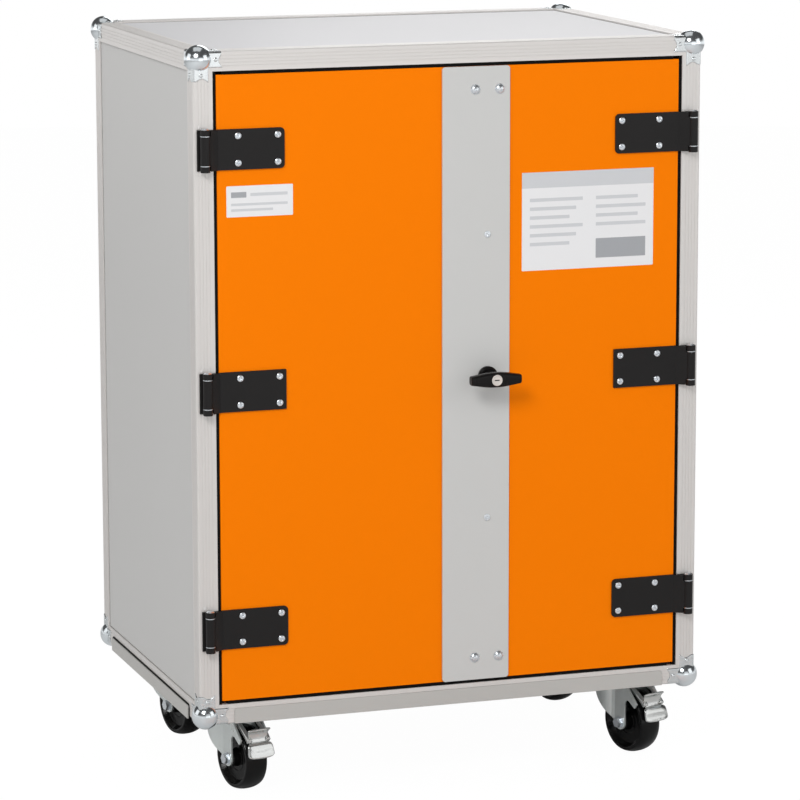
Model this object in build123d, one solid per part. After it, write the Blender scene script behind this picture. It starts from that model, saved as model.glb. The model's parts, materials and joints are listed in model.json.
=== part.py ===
import os

from build123d import *

# Battery cabinet: a double-door case on four castors, built from edge profiles, ball corners and
# panels. Everything is modelled in case coordinates: x from the left outer face, y from the front
# outer face backwards, z from the underside of the bottom rails. save() moves it to the part's
# frame: origin under the middle of the whole outline, on the floor, +Z up and doors towards -Y.

# --- driving dimensions, mm ---------------------------------------------------------------------
CASE_W = 800.0            # outer faces of the edge profiles
CASE_D = 570.0
CASE_H = 1010.0
FLOOR_LIFT = 125.0        # underside of the bottom rails above the floor

PROFILE = 30.0            # width of both faces of an edge profile
PROFILE_WALL = 2.5        # thickness of the two outer legs
CORE = 18.0               # how deep the profile's box chamber reaches
CORE_WALL = 2.0
PANEL_T = 8.0             # side, back and top panels, held in the profiles' grooves
EDGE_R = 2.5              # rounded outer edge of a profile
RIB_PITCH = 5.0
RIB_W = 1.2
RIB_DEPTH = 0.4
MITRE_GAP = 0.1           # from the mitre plane to each profile
FIT = 0.15                # slack of a panel in its groove
REBATE = 0.3              # the top panel's border is this much lower, to slide under the lips
REBATE_OVER = 1.0         # how far the rebate shows beyond the lips

BALL_R = 20.8
BALL_INSET = 11.5         # ball centre behind each of the three outer faces
LEG_T = 1.2
LEG_L = 45.0              # leg of a ball corner along a profile, from the outer corner
LEG_W = 24.0
LEG_NOTCH = 4.5           # depth of the fishtail at the leg's end
RIVET_R = 3.2
RIVET_H = 1.3

FLOOR_T = 12.0
FLOOR_Z = PROFILE_WALL    # the floor board lies on the lower legs of the bottom profiles
SHELF_T = 15.0
MID_CLEAR = 300.0         # clear height of the middle compartment
MID_UP = 5.0              # its middle above the case's middle
SHELF_Z = (CASE_H / 2 + MID_UP - MID_CLEAR / 2 - SHELF_T, CASE_H / 2 + MID_UP + MID_CLEAR / 2)
SHELF_FRONT = 62.0        # shelf edge behind the front face, clear of the lock
SHELF_GAP = 1.0
ANGLE_LEG = 20.0          # shelf support angles
ANGLE_T = 2.0

DOOR_T = 18.0
DOOR_FACE = 1.0           # door face behind the case's front face
DOOR_GAP = 5.5            # between the profile's edge and the door's edge
DOOR_MEET = 3.0           # between the two doors, behind the cover strip
LAP_GAP = 0.3             # the left door lies this much further back, under the cover strip
SEAL_GAP = 0.7            # from a door to the rubber seal
SEAL_BACK = 4.0           # thickness of the seal's lip behind the door
SEAL_LIP = 14.0           # reach of that lip from the profile

STRIP_X = CASE_W / 2 - 16.0        # left edge of the cover strip, past the meeting line
STRIP_W = 107.0
STRIP_T = 3.0
STRIP_R = 5.0
BOLT_SPREAD = 38.7
BOLT_END = 34.5           # from the strip's end to its carriage bolts
SCREW_END = 252.5         # from the strip's end to its flat screws
LOCK_X = CASE_W / 2 + 55.5         # lock axis, also the middle of the strip's bolts
LOCK_Z = CASE_H / 2 + 1.5
BOLT_R = 7.8              # domed heads of the strip's carriage bolts
BOLT_H = 4.4
BOLT_SHANK = 3.0
NUT_R = 5.8
NUT_H = 5.0
FLAT_R = 5.0              # flat screws in the strip
FLAT_H = 1.2
FLAT_SHANK = 2.0

HINGE_END = 145.0         # from the case's end to the middle of its hinge
HINGE_Z = (HINGE_END, CASE_H / 2, CASE_H - HINGE_END)
HINGE_H = 60.0
LEAF_T = 2.5
LEAF_END = 138.7          # end of the door leaf from the outer edge of the case
LEAF_BEND = 37.0          # where the leaf turns up to its barrel
LEAF_CORNER = (6.5, 1.0, 6.5)
HINGE_AXIS = 15.0         # from the outer edge of the case
HINGE_OUT = 10.0          # in front of the case
BARREL_R = 7.2
BARREL_MID = 42.0
BARREL_END = 8.6
PIN_R = 3.0
PIN_CLEAR = 0.05
WASHER_T = 1.0
WASHER_GAP = 0.3
LEAF_SCREW_X = (67.4, 128.3)
LEAF_SCREW_Z = 20.0
LEAF_SCREW_R = 5.0        # head
LEAF_SCREW_H = 2.2
SCREW_SHANK = 2.0

HANDLE_L = 80.0
HANDLE_MID = 23.0         # height of the grip in its middle and at its ends
HANDLE_TIP = 13.5
HANDLE_OUT = 45.0         # front of the grip from the strip
HANDLE_T = 15.0
HANDLE_BEVEL = 3.0
BASE_R = 15.0
BASE_T = 7.0
NECK_R = 9.0
PLUG_R = 7.0
PLUG_RIM = 1.0
PLUG_L = 11.0
SPINDLE_R = 5.0
TURN_CLEAR = 0.05
CASE_LOCK = (50.0, 28.0, 90.0)     # lock case behind the door: width, depth, height
ROD_W = 14.0
ROD_T = 6.0
ROD_BACK = 8.5            # from the door's back to the rods
ROD_TRAVEL = 12.0
ROD_END = 26.0            # inner end of a rod from the lock axis
ROD_SLACK = 0.3
GUIDE_T = 18.0
GUIDE_H = 16.0
KEEPER_T = 4.0
KEEPER_GAP = 1.0          # from a drawn-back rod to its keeper
KEEPER_OVER = 7.0         # how far the seal's lip is passed by the end of a drawn-back rod

SKIRT_T = 2.0
SKIRT_H = 23.0
SKIRT_END = 54.0
SIDE_SKIRT_H = 20.0
SIDE_SKIRT_DROP = 3.0     # below the bottom rails
SIDE_SKIRT_END = 60.0
GASKET_T = 1.0
GASKET_OVER = 3.0

WHEEL_R = 50.0
WHEEL_W = 36.0
AXLE_R = 5.0
TRAIL = 38.0
CASTOR_X = 80.0           # swivel axes from the side and front faces
CASTOR_Y = 118.0
CASTOR_REAR = 118.0
SWIVEL_DEG = (13.0, 17.0, 12.0, 12.0)   # front left, front right, rear left, rear right
PLATE = (85.0, 105.0, 3.0)
PLATE_HOLES = (60.0, 80.0)
RACE_R = 29.0
RACE_H = 9.0
CROWN_T = 4.0
CROWN_R = 34.0
FORK_T = 3.0
FORK_IN = 22.5            # half the gap between the fork's cheeks
FORK_CLEAR = 0.6          # from the turning fork to the race
FOOT_R = 12.0             # rounded foot of a fork, around the axle
STEM_R = 7.0
HEX_R = 8.0               # over the corners of the castors' bolt heads
WASHER_R = 9.5
PLATE_BOLT_R = 4.0
HUB_R = 13.0
DISH = 9.0                # how far a wheel's web lies inside its rim
PEDAL_PIVOT = (44.0, 107.0)   # forwards of the swivel axis, above the floor
PEDAL_PIN_R = 3.0
PEDAL_W = 46.0            # foot plate
PEDAL_TAB_W = 42.0
PEDAL_CORNER = 9.0        # rounded corners of both
PEDAL_WINDOW = 22.0

DOOR_BACK = DOOR_FACE + DOOR_T
DOOR_LOW = PROFILE + DOOR_GAP
DOOR_HIGH = CASE_H - PROFILE - DOOR_GAP
SEAL_REAR = DOOR_BACK + LAP_GAP + SEAL_GAP + SEAL_BACK
STRIP_FRONT = DOOR_FACE - STRIP_T
LIP = PROFILE_WALL + PANEL_T
ROD_Y = DOOR_BACK + ROD_BACK + ROD_T / 2
HANDLE_REACH = STRIP_T - DOOR_FACE + HANDLE_OUT + PLUG_RIM
Y_SHIFT = (HANDLE_REACH - CASE_D - (BALL_R - BALL_INSET)) / 2


# --- helpers ------------------------------------------------------------------------------------
def block(x0, x1, y0, y1, z0, z1):
    return Pos(x0, y0, z0) * Box(x1 - x0, y1 - y0, z1 - z0, align=(Align.MIN,) * 3)


def rod_y(x, z, y0, y1, radius):
    """A round bar along y."""
    bar = Cylinder(radius, y1 - y0, align=(Align.CENTER, Align.CENTER, Align.MIN))
    return Pos(x, y0, z) * Rot(-90, 0, 0) * bar


def mirror_x(shapes):
    """The same pieces on the other side of the case."""
    return [mirror(s, about=Plane.YZ.offset(CASE_W / 2)) for s in shapes]


def mirror_y(shapes):
    return [mirror(s, about=Plane.XZ.offset(-CASE_D / 2)) for s in shapes]


def mirror_z(shapes):
    return [mirror(s, about=Plane.XY.offset(CASE_H / 2)) for s in shapes]


def solids(shapes):
    return [s for shape in shapes for s in (shape.solids() if hasattr(shape, "solids") else [shape])]


def save(name, shapes, lift=FLOOR_LIFT):
    """Writes one sub-part, moved from case coordinates to the part's frame."""
    place = Pos(-CASE_W / 2, Y_SHIFT, lift)
    made = [place * s for s in solids(shapes)]
    whole = made[0] if len(made) == 1 else Compound(children=made)
    whole.label = name
    export_step(whole, f"parts/{name}.step")


# --- edge profiles ------------------------------------------------------------------------------
def profile_section(core_a, core_b, groove_a, groove_b):
    """Section of an edge profile: a runs inwards from one outer face, b from the other."""
    legs = Polyline((0, 0), (PROFILE, 0), (PROFILE, PROFILE_WALL), (PROFILE_WALL, PROFILE_WALL),
                    (PROFILE_WALL, PROFILE), (0, PROFILE), close=True)
    wall = CORE_WALL
    face = make_face(legs)
    face += Pos(PROFILE_WALL, PROFILE_WALL) * Rectangle(
        core_a - PROFILE_WALL, core_b - PROFILE_WALL, align=(Align.MIN, Align.MIN))
    face -= Pos(PROFILE_WALL, PROFILE_WALL) * Rectangle(
        core_a - PROFILE_WALL - wall, core_b - PROFILE_WALL - wall, align=(Align.MIN, Align.MIN))
    if groove_a:
        face += Pos(LIP, core_b) * Rectangle(wall, PROFILE - core_b, align=(Align.MIN, Align.MIN))
    if groove_b:
        face += Pos(core_a, LIP) * Rectangle(PROFILE - core_a, wall, align=(Align.MIN, Align.MIN))
    corner = face.vertices().sort_by_distance((0, 0, 0))[0]
    face = fillet(corner, EDGE_R)
    ribs = int((PROFILE - 2 * RIB_PITCH) // RIB_PITCH)
    for i in range(ribs):
        along = RIB_PITCH * (i + 1.5)
        face -= Pos(along, 0) * Rectangle(RIB_W, 2 * RIB_DEPTH)
        face -= Pos(0, along) * Rectangle(2 * RIB_DEPTH, RIB_W)
    return face


def mitre_wedge():
    """What a 45 degree mitre takes off the end of a profile, for the face at a = 0."""
    reach = 2 * PROFILE
    outline = Polyline((-reach, -reach), (reach, -reach), (reach, reach), (-reach, -reach))
    tool = extrude(Plane.XZ * make_face(outline), amount=reach, both=True)
    return Pos(0, 0, MITRE_GAP) * tool


def profile_bar(length, section):
    """A profile along z from 0 to length, mitred towards both neighbours at both ends."""
    bar = extrude(section, amount=length)
    wedge = mitre_wedge()
    turned = mirror(wedge, about=Plane(origin=(0, 0, 0), z_dir=(1, -1, 0)))
    for tool in (wedge, turned):
        bar -= tool
        bar -= mirror(tool, about=Plane.XY.offset(length / 2))
    return bar


def lay(bar, corner, dir_a, dir_b, dir_l, length):
    """Lays a profile so that its faces look away from dir_a and dir_b."""
    a, b, run = Vector(*dir_a), Vector(*dir_b), Vector(*dir_l)
    origin = Vector(*corner)
    normal = a.cross(b)
    if normal.dot(run) < 0:
        origin = origin + run * length
    return Plane(origin=origin, x_dir=a, z_dir=normal).location * bar


def make_profiles():
    stile = profile_bar(CASE_H, profile_section(PROFILE, CORE, True, False))
    post = profile_bar(CASE_H, profile_section(CORE, CORE, True, True))
    head = profile_bar(CASE_W, profile_section(PROFILE, CORE, True, False))
    sill = profile_bar(CASE_W, profile_section(PROFILE, CORE, False, False))
    back_top = profile_bar(CASE_W, profile_section(CORE, CORE, True, True))
    back_low = profile_bar(CASE_W, profile_section(CORE, CORE, False, True))
    side_top = profile_bar(CASE_D, profile_section(CORE, CORE, True, True))
    side_low = profile_bar(CASE_D, profile_section(CORE, CORE, False, True))
    x, y, z = (1, 0, 0), (0, 1, 0), (0, 0, 1)
    down, front = (0, 0, -1), (0, -1, 0)
    stiles = [lay(stile, (0, 0, 0), x, y, z, CASE_H)]
    posts = [lay(post, (0, CASE_D, 0), x, front, z, CASE_H)]
    save("front_uprights", stiles + mirror_x(stiles))
    save("rear_uprights", posts + mirror_x(posts))
    save("front_rails", [lay(head, (0, 0, CASE_H), down, y, x, CASE_W), lay(sill, (0, 0, 0), z, y, x, CASE_W)])
    save("rear_rails", [lay(back_top, (0, CASE_D, CASE_H), down, front, x, CASE_W),
                        lay(back_low, (0, CASE_D, 0), z, front, x, CASE_W)])
    sides = [lay(side_top, (0, 0, CASE_H), down, x, y, CASE_D), lay(side_low, (0, 0, 0), z, x, y, CASE_D)]
    save("side_rails", sides + mirror_x(sides))


# --- panels and shelves -------------------------------------------------------------------------
def make_panels():
    near, far = CORE + FIT, CASE_D - CORE - FIT
    skin = PROFILE_WALL
    side = [block(skin, skin + PANEL_T - FIT, near, far, near, CASE_H - near)]
    save("left_panel", side)
    save("right_panel", mirror_x(side))
    save("back_panel", [block(near, CASE_W - near, CASE_D - skin - PANEL_T + FIT, CASE_D - skin,
                              near, CASE_H - near)])
    top, shown = CASE_H - skin, PROFILE + REBATE_OVER
    sheet = block(near, CASE_W - near, near, far, top - PANEL_T + FIT, top - REBATE)
    save("top_panel", [sheet + block(shown, CASE_W - shown, shown, CASE_D - shown, top - PANEL_T + FIT, top)])
    save("floor_board", [block(near, CASE_W - near, near, far, FLOOR_Z, FLOOR_Z + FLOOR_T)])


def board(z, thick, front, gap):
    """A shelf between the side profiles, notched around the rear uprights."""
    inner = LIP + CORE_WALL + gap
    notch = CORE + gap
    sheet = block(inner, CASE_W - inner, front, CASE_D - inner, z, z + thick)
    for x0 in (0, CASE_W - notch):
        sheet -= block(x0, x0 + notch, CASE_D - notch, CASE_D, z - 1, z + thick + 1)
    return sheet


def make_shelves():
    shelves, supports = [], []
    for z in SHELF_Z:
        shelves.append(board(z, SHELF_T, SHELF_FRONT, SHELF_GAP))
        leg = make_face(Polyline((LIP, z), (LIP + ANGLE_LEG, z), (LIP + ANGLE_LEG, z - ANGLE_T),
                                 (LIP + ANGLE_T, z - ANGLE_T), (LIP + ANGLE_T, z - ANGLE_LEG),
                                 (LIP, z - ANGLE_LEG), close=True))
        run = CASE_D - PROFILE - SHELF_FRONT
        angle = Pos(0, SHELF_FRONT, 0) * extrude(Plane.XZ * leg, amount=-run)
        supports += [angle] + mirror_x([angle])
    save("shelves", shelves)
    save("shelf_supports", supports)


# --- ball corners -------------------------------------------------------------------------------
def leg_outline():
    """One face plate of a ball corner: two legs along the profiles, each with a fishtail end."""
    fish = LEG_L - LEG_NOTCH
    path = Line((0, 0), (LEG_L, 0))
    path += ThreePointArc((LEG_L, 0), (fish, LEG_W * 0.55), (LEG_L - 1, LEG_W))
    path += Line((LEG_L - 1, LEG_W), (LEG_W, LEG_W))
    path += Line((LEG_W, LEG_W), (LEG_W, LEG_L - 1))
    path += ThreePointArc((LEG_W, LEG_L - 1), (LEG_W * 0.55, fish), (0, LEG_L))
    path += Line((0, LEG_L), (0, 0))
    return make_face(path)


def corner_piece():
    """The ball corner at the case's front left bottom corner."""
    ball = Pos(BALL_INSET, BALL_INSET, BALL_INSET) * Sphere(BALL_R)
    plate = extrude(leg_outline(), amount=-LEG_T)
    side = mirror(plate, about=Plane(origin=(0, 0, 0), z_dir=(1, 0, -1)))
    front = mirror(plate, about=Plane(origin=(0, 0, 0), z_dir=(0, 1, -1)))
    edge_caps = [block(-LEG_T, LEG_L, -LEG_T, 0, -LEG_T, 0), block(-LEG_T, 0, -LEG_T, LEG_L, -LEG_T, 0),
                 block(-LEG_T, 0, -LEG_T, 0, -LEG_T, LEG_L)]
    piece = ball + plate + side + front
    for cap in edge_caps:
        piece += cap
    reach = 2 * PROFILE
    return piece - block(0, reach, 0, reach, 0, reach)


def corner_rivets():
    """One rivet on each leg, next to the profile's outer edge."""
    across, along = LEG_W / 2, LEG_L * 0.77
    rivet = Cylinder(RIVET_R, RIVET_H, align=(Align.CENTER, Align.CENTER, Align.MAX))
    rivet = chamfer(rivet.edges().group_by(Axis.Z)[0], RIVET_H * 0.45)
    flat = Pos(along, across, -LEG_T) * rivet
    upright = mirror(Pos(across, along, -LEG_T) * rivet, about=Plane(origin=(0, 0, 0), z_dir=(1, 0, -1)))
    front = mirror(Pos(across, along, -LEG_T) * rivet, about=Plane(origin=(0, 0, 0), z_dir=(0, 1, -1)))
    return [flat, upright, front]


def make_corners():
    for name, low in (("ball_corners", [corner_piece()]), ("corner_rivets", corner_rivets())):
        low = low + mirror_x(low)
        low = low + mirror_y(low)
        save(name, low + mirror_z(low))


def make_skirts():
    outline = Pos(CASE_W / 2, SKIRT_H / 2) * Rectangle(CASE_W - 2 * SKIRT_END, SKIRT_H)
    outline = fillet(outline.vertices().group_by(Axis.Y)[-1], 3.0)
    front = extrude(Plane.XZ * outline, amount=SKIRT_T)
    save("end_skirts", [front] + mirror_y([front]))
    top = SIDE_SKIRT_H - SIDE_SKIRT_DROP
    length = CASE_D - 2 * SIDE_SKIRT_END
    plates, pads = [], []
    for over, x_out, depth, store in ((0.0, GASKET_T, SKIRT_T, plates), (GASKET_OVER, 0.0, GASKET_T, pads)):
        sheet = Pos(CASE_D / 2, (top + over - SIDE_SKIRT_DROP) / 2) * Rectangle(
            length + 2 * over, top + over + SIDE_SKIRT_DROP)
        sheet = fillet(sheet.vertices().group_by(Axis.Y)[-1], 3.0 + over)
        left = Pos(-x_out, 0, 0) * extrude(Plane.YZ * sheet, amount=-depth)
        store += [left] + mirror_x([left])
    save("side_skirts", plates)
    save("skirt_gaskets", pads)


# --- doors --------------------------------------------------------------------------------------
def make_seal():
    """Rubber seal around the doors: it fills the gap and reaches behind the door's edge."""
    fill = DOOR_GAP - SEAL_GAP
    y0 = PROFILE_WALL
    back = SEAL_REAR - SEAL_BACK
    ell = Polyline((0, y0), (fill, y0), (fill, back), (SEAL_LIP, back), (SEAL_LIP, SEAL_REAR),
                   (0, SEAL_REAR), close=True)
    section = make_face(ell)
    tall = CASE_H - 2 * PROFILE
    upright = Pos(PROFILE, 0, PROFILE) * extrude(section, amount=tall)
    wide = CASE_W - 2 * PROFILE - 2 * SEAL_LIP
    lying = Plane(origin=(PROFILE + SEAL_LIP + wide, 0, PROFILE), x_dir=(0, 0, 1), z_dir=(-1, 0, 0)).location * extrude(
        section, amount=wide)
    save("door_seal", [upright] + mirror_x([upright]) + [lying] + mirror_z([lying]))


def door_leaf(z, radius, face):
    """Door leaf of a left hinge: flat plate, the turned-up part and the middle barrel."""
    ax, ay = HINGE_AXIS, -HINGE_OUT
    top = face - LEAF_T
    slope = make_face(Polyline((LEAF_BEND, top), (ax, ay - BARREL_R), (ax, ay - BARREL_R + LEAF_T),
                               (LEAF_BEND, face), close=True))
    plate = Pos(LEAF_BEND, top) * Rectangle(LEAF_END - LEAF_BEND, LEAF_T, align=(Align.MIN, Align.MIN))
    section = plate + slope + Pos(ax, ay) * Circle(BARREL_R)
    leaf = Pos(0, 0, z - HINGE_H / 2) * extrude(section, amount=HINGE_H)
    notch = (HINGE_H - BARREL_MID) / 2
    edge = ax + BARREL_R + WASHER_GAP
    for z0 in (z - HINGE_H / 2 - 1, z + HINGE_H / 2 - notch):
        leaf -= block(ax - 2 * BARREL_R, edge + 1, ay - 2 * BARREL_R, face + 1, z0, z0 + notch + 1)
    leaf -= Pos(ax, ay, z) * Cylinder(PIN_R + PIN_CLEAR, HINGE_H)
    far = [e for e in leaf.edges().filter_by(Axis.Y) if e.center().X > LEAF_END - 1]
    leaf = fillet(far, radius)
    for x in LEAF_SCREW_X:
        for dz in (-LEAF_SCREW_Z, LEAF_SCREW_Z):
            leaf -= rod_y(x, z + dz, top - 1, face + 1, SCREW_SHANK)
    return leaf


def frame_leaf(z):
    """Frame leaf behind the barrels: a plate on the stile with the two end barrels."""
    ax, ay = HINGE_AXIS, -HINGE_OUT
    half = BARREL_MID / 2 + WASHER_T + 2 * WASHER_GAP
    leaf = block(ax - 10, PROFILE - 0.5, -LEAF_T, 0, z - HINGE_H / 2, z + HINGE_H / 2)
    for z0 in (z + half, z - half - BARREL_END):
        barrel = Pos(ax, ay, z0) * Cylinder(BARREL_R, BARREL_END, align=(Align.CENTER, Align.CENTER, Align.MIN))
        web = block(ax - BARREL_R + 1, ax + BARREL_R - 1, ay, -LEAF_T / 2, max(z0, z - HINGE_H / 2),
                    min(z0 + BARREL_END, z + HINGE_H / 2))
        leaf = leaf + barrel + web
    return leaf - Pos(ax, ay, z) * Cylinder(PIN_R, 2 * HINGE_H)


def hinge_pin(z):
    """The pin with its domed head, and the two bright washers between the barrels."""
    ax, ay = HINGE_AXIS, -HINGE_OUT
    half = BARREL_MID / 2 + WASHER_T + 2 * WASHER_GAP + BARREL_END
    pin = Pos(ax, ay, z) * Cylinder(PIN_R, 2 * half)
    pin += Pos(ax, ay, z + half) * Cone(BARREL_R - 1, BARREL_R - 3, 1.6, align=(Align.CENTER, Align.CENTER, Align.MIN))
    washers = []
    for side in (-1, 1):
        middle = z + side * (BARREL_MID / 2 + WASHER_GAP + WASHER_T / 2)
        washers.append(Pos(ax, ay, middle) * (Cylinder(BARREL_R, WASHER_T) - Cylinder(PIN_R, WASHER_T)))
    return [pin] + washers


def pan_screw(x, z, face, radius, height, length, shank):
    """A pan-head screw in the face y = face, its head towards the front."""
    head = rod_y(x, z, face - height, face, radius)
    head = chamfer(head.edges().group_by(Axis.Y)[0], height * 0.55)
    return head + rod_y(x, z, face - height / 2, face + length, shank)


def door_panel(x0, x1, face):
    return block(x0, x1, face, face + DOOR_T, DOOR_LOW, DOOR_HIGH)


def hinge_screws(face):
    top = face - LEAF_T
    return [pan_screw(x, z + dz, top, LEAF_SCREW_R, LEAF_SCREW_H, LEAF_T + DOOR_T * 0.6, SCREW_SHANK)
            for z in HINGE_Z for x in LEAF_SCREW_X for dz in (-LEAF_SCREW_Z, LEAF_SCREW_Z)]


def drill_hinges(panel, face):
    for z in HINGE_Z:
        for x in LEAF_SCREW_X:
            for dz in (-LEAF_SCREW_Z, LEAF_SCREW_Z):
                panel -= rod_y(x, z + dz, face - 1, face + DOOR_T * 0.6, SCREW_SHANK)
    return panel


def make_doors():
    left_face = DOOR_FACE + LAP_GAP
    meet = (CASE_W - DOOR_MEET) / 2
    left = drill_hinges(door_panel(DOOR_LOW, meet, left_face), left_face)
    save("left_door_panel", [left])
    save("left_door_leaves", [door_leaf(z, r, left_face) for z, r in zip(HINGE_Z, LEAF_CORNER)])
    save("left_leaf_screws", hinge_screws(left_face))
    right = drill_hinges(door_panel(DOOR_LOW, meet, DOOR_FACE), DOOR_FACE)
    right = mirror_x([right])[0]
    for x, z, radius in strip_bores():
        right -= rod_y(x, z, DOOR_FACE - 1, DOOR_BACK + 1, radius)
    right -= rod_y(LOCK_X, LOCK_Z, DOOR_FACE - 1, DOOR_BACK + 1, SPINDLE_R + 1)
    save("right_door_panel", [right])
    save("right_door_leaves", mirror_x([door_leaf(z, r, DOOR_FACE) for z, r in zip(HINGE_Z, LEAF_CORNER)]))
    save("right_leaf_screws", mirror_x(hinge_screws(DOOR_FACE)))
    frame_leaves = [frame_leaf(z) for z in HINGE_Z]
    pins = [piece for z in HINGE_Z for piece in hinge_pin(z)]
    save("left_frame_leaves", frame_leaves)
    save("right_frame_leaves", mirror_x(frame_leaves))
    save("left_hinge_pins", pins)
    save("right_hinge_pins", mirror_x(pins))


# --- cover strip and three-point lock -----------------------------------------------------------
def strip_ends():
    return DOOR_LOW, DOOR_HIGH


def bolt_places():
    low, high = strip_ends()
    return [(LOCK_X + side * BOLT_SPREAD / 2, z) for z in (low + BOLT_END, high - BOLT_END) for side in (-1, 1)]


def screw_places():
    low, high = strip_ends()
    return [(LOCK_X, z) for z in (low + SCREW_END, high - SCREW_END)]


def strip_bores():
    return [(x, z, BOLT_SHANK) for x, z in bolt_places()] + [(x, z, FLAT_SHANK) for x, z in screw_places()]


def make_strip():
    low, high = strip_ends()
    outline = Pos(STRIP_X + STRIP_W / 2, (low + high) / 2) * RectangleRounded(STRIP_W, high - low, STRIP_R)
    strip = Pos(0, DOOR_FACE, 0) * extrude(Plane.XZ * outline, amount=STRIP_T)
    for x, z, radius in strip_bores():
        strip -= rod_y(x, z, STRIP_FRONT - 1, DOOR_FACE + 1, radius)
    strip -= rod_y(LOCK_X, LOCK_Z, STRIP_FRONT - 1, DOOR_FACE + 1, SPINDLE_R + 1)
    save("cover_strip", [strip])
    guide_back = DOOR_BACK + GUIDE_T
    bolts = []
    for x, z in bolt_places():
        dome_r = (BOLT_R ** 2 + BOLT_H ** 2) / (2 * BOLT_H)
        dome = Pos(x, STRIP_FRONT + dome_r - BOLT_H, z) * Sphere(dome_r)
        dome &= block(x - BOLT_R - 1, x + BOLT_R + 1, STRIP_FRONT - BOLT_H - 1, STRIP_FRONT, z - 9, z + 9)
        nut = Pos(x, guide_back, z) * Rot(-90, 0, 0) * extrude(RegularPolygon(NUT_R, 6), amount=NUT_H)
        bolts.append(dome + rod_y(x, z, STRIP_FRONT - 1, guide_back + NUT_H + 2, BOLT_SHANK) + nut)
    save("strip_bolts", bolts)
    length = DOOR_BACK + ROD_BACK / 2 - STRIP_FRONT
    save("strip_screws", [pan_screw(x, z, STRIP_FRONT, FLAT_R, FLAT_H, length, FLAT_SHANK) for x, z in screw_places()])


def rod_slot(x, z0, z1, slack):
    w, t = ROD_W / 2 + slack, ROD_T / 2 + slack
    return block(x - w, x + w, ROD_Y - t, ROD_Y + t, z0, z1)


def rod_ends():
    """Outer ends of the drawn-back rods: lower and upper."""
    clear = PROFILE + SEAL_LIP + KEEPER_OVER + KEEPER_GAP
    return clear, CASE_H - clear


def make_lock():
    guides = []
    for x, z in screw_places():
        guides.append(block(x - 13, x + 13, DOOR_BACK, DOOR_BACK + GUIDE_T, z - GUIDE_H / 2, z + GUIDE_H / 2)
                      - rod_y(x, z, DOOR_BACK - 1, DOOR_BACK + ROD_BACK / 2, FLAT_SHANK))
    half = BOLT_SPREAD / 2 + 2 * BOLT_SHANK + 2
    for z in sorted({z for x, z in bolt_places()}):
        guide = block(LOCK_X - half, LOCK_X + half, DOOR_BACK, DOOR_BACK + GUIDE_T, z - GUIDE_H / 2, z + GUIDE_H / 2)
        for side in (-1, 1):
            guide -= rod_y(LOCK_X + side * BOLT_SPREAD / 2, z, DOOR_BACK - 1, DOOR_BACK + GUIDE_T + 1, BOLT_SHANK)
        guides.append(guide)
    save("rod_guides", [g - rod_slot(LOCK_X, 0, CASE_H, ROD_SLACK) for g in guides])
    width, depth, height = CASE_LOCK
    case = block(LOCK_X - width / 2, LOCK_X + width / 2, DOOR_BACK, DOOR_BACK + depth,
                 LOCK_Z - height / 2, LOCK_Z + height / 2)
    case = fillet(case.edges().filter_by(Axis.Y), 6.0)
    case -= rod_y(LOCK_X, LOCK_Z, DOOR_BACK - 1, DOOR_BACK + depth - 3, SPINDLE_R + TURN_CLEAR)
    inner = ROD_END - 1
    case -= rod_slot(LOCK_X, LOCK_Z + inner, LOCK_Z + height, ROD_SLACK)
    case -= rod_slot(LOCK_X, LOCK_Z - height, LOCK_Z - inner, ROD_SLACK)
    save("lock_case", [case])
    low, high = rod_ends()
    save("lower_rod", [rod_slot(LOCK_X, low, LOCK_Z - ROD_END, 0.0)])
    save("upper_rod", [rod_slot(LOCK_X, LOCK_Z + ROD_END, high, 0.0)])
    w = ROD_W / 2 + ROD_SLACK + KEEPER_T
    t = ROD_T / 2 + ROD_SLACK
    front = ROD_Y - t - 2.5
    back = ROD_Y + t + KEEPER_T
    lower = block(LOCK_X - w, LOCK_X + w, front, back, FLOOR_Z + FLOOR_T, low - KEEPER_GAP)
    upper = block(LOCK_X - w, LOCK_X + w, front, back, high + KEEPER_GAP, CASE_H - LIP - CORE_WALL)
    save("rod_keepers", [k - rod_slot(LOCK_X, FLOOR_Z + FLOOR_T, CASE_H, ROD_SLACK) for k in (lower, upper)])


def grip_outline():
    """Front view of the grip: bulged in the middle and tapering to rounded tips."""
    half, mid, tip = HANDLE_L / 2, HANDLE_MID / 2, HANDLE_TIP / 2
    flat = HANDLE_MID * 0.35
    corner = 3.0
    top = Line((-flat, mid), (flat, mid)) + Line((flat, mid), (half - corner, tip))
    end = ThreePointArc((half - corner, tip), (half, 0), (half - corner, -tip))
    low = Line((half - corner, -tip), (flat, -mid)) + Line((flat, -mid), (-flat, -mid))
    low += Line((-flat, -mid), (-half + corner, -tip))
    back = ThreePointArc((-half + corner, -tip), (-half, 0), (-half + corner, tip))
    return make_face(top + end + low + back + Line((-half + corner, tip), (-flat, mid)))


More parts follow.
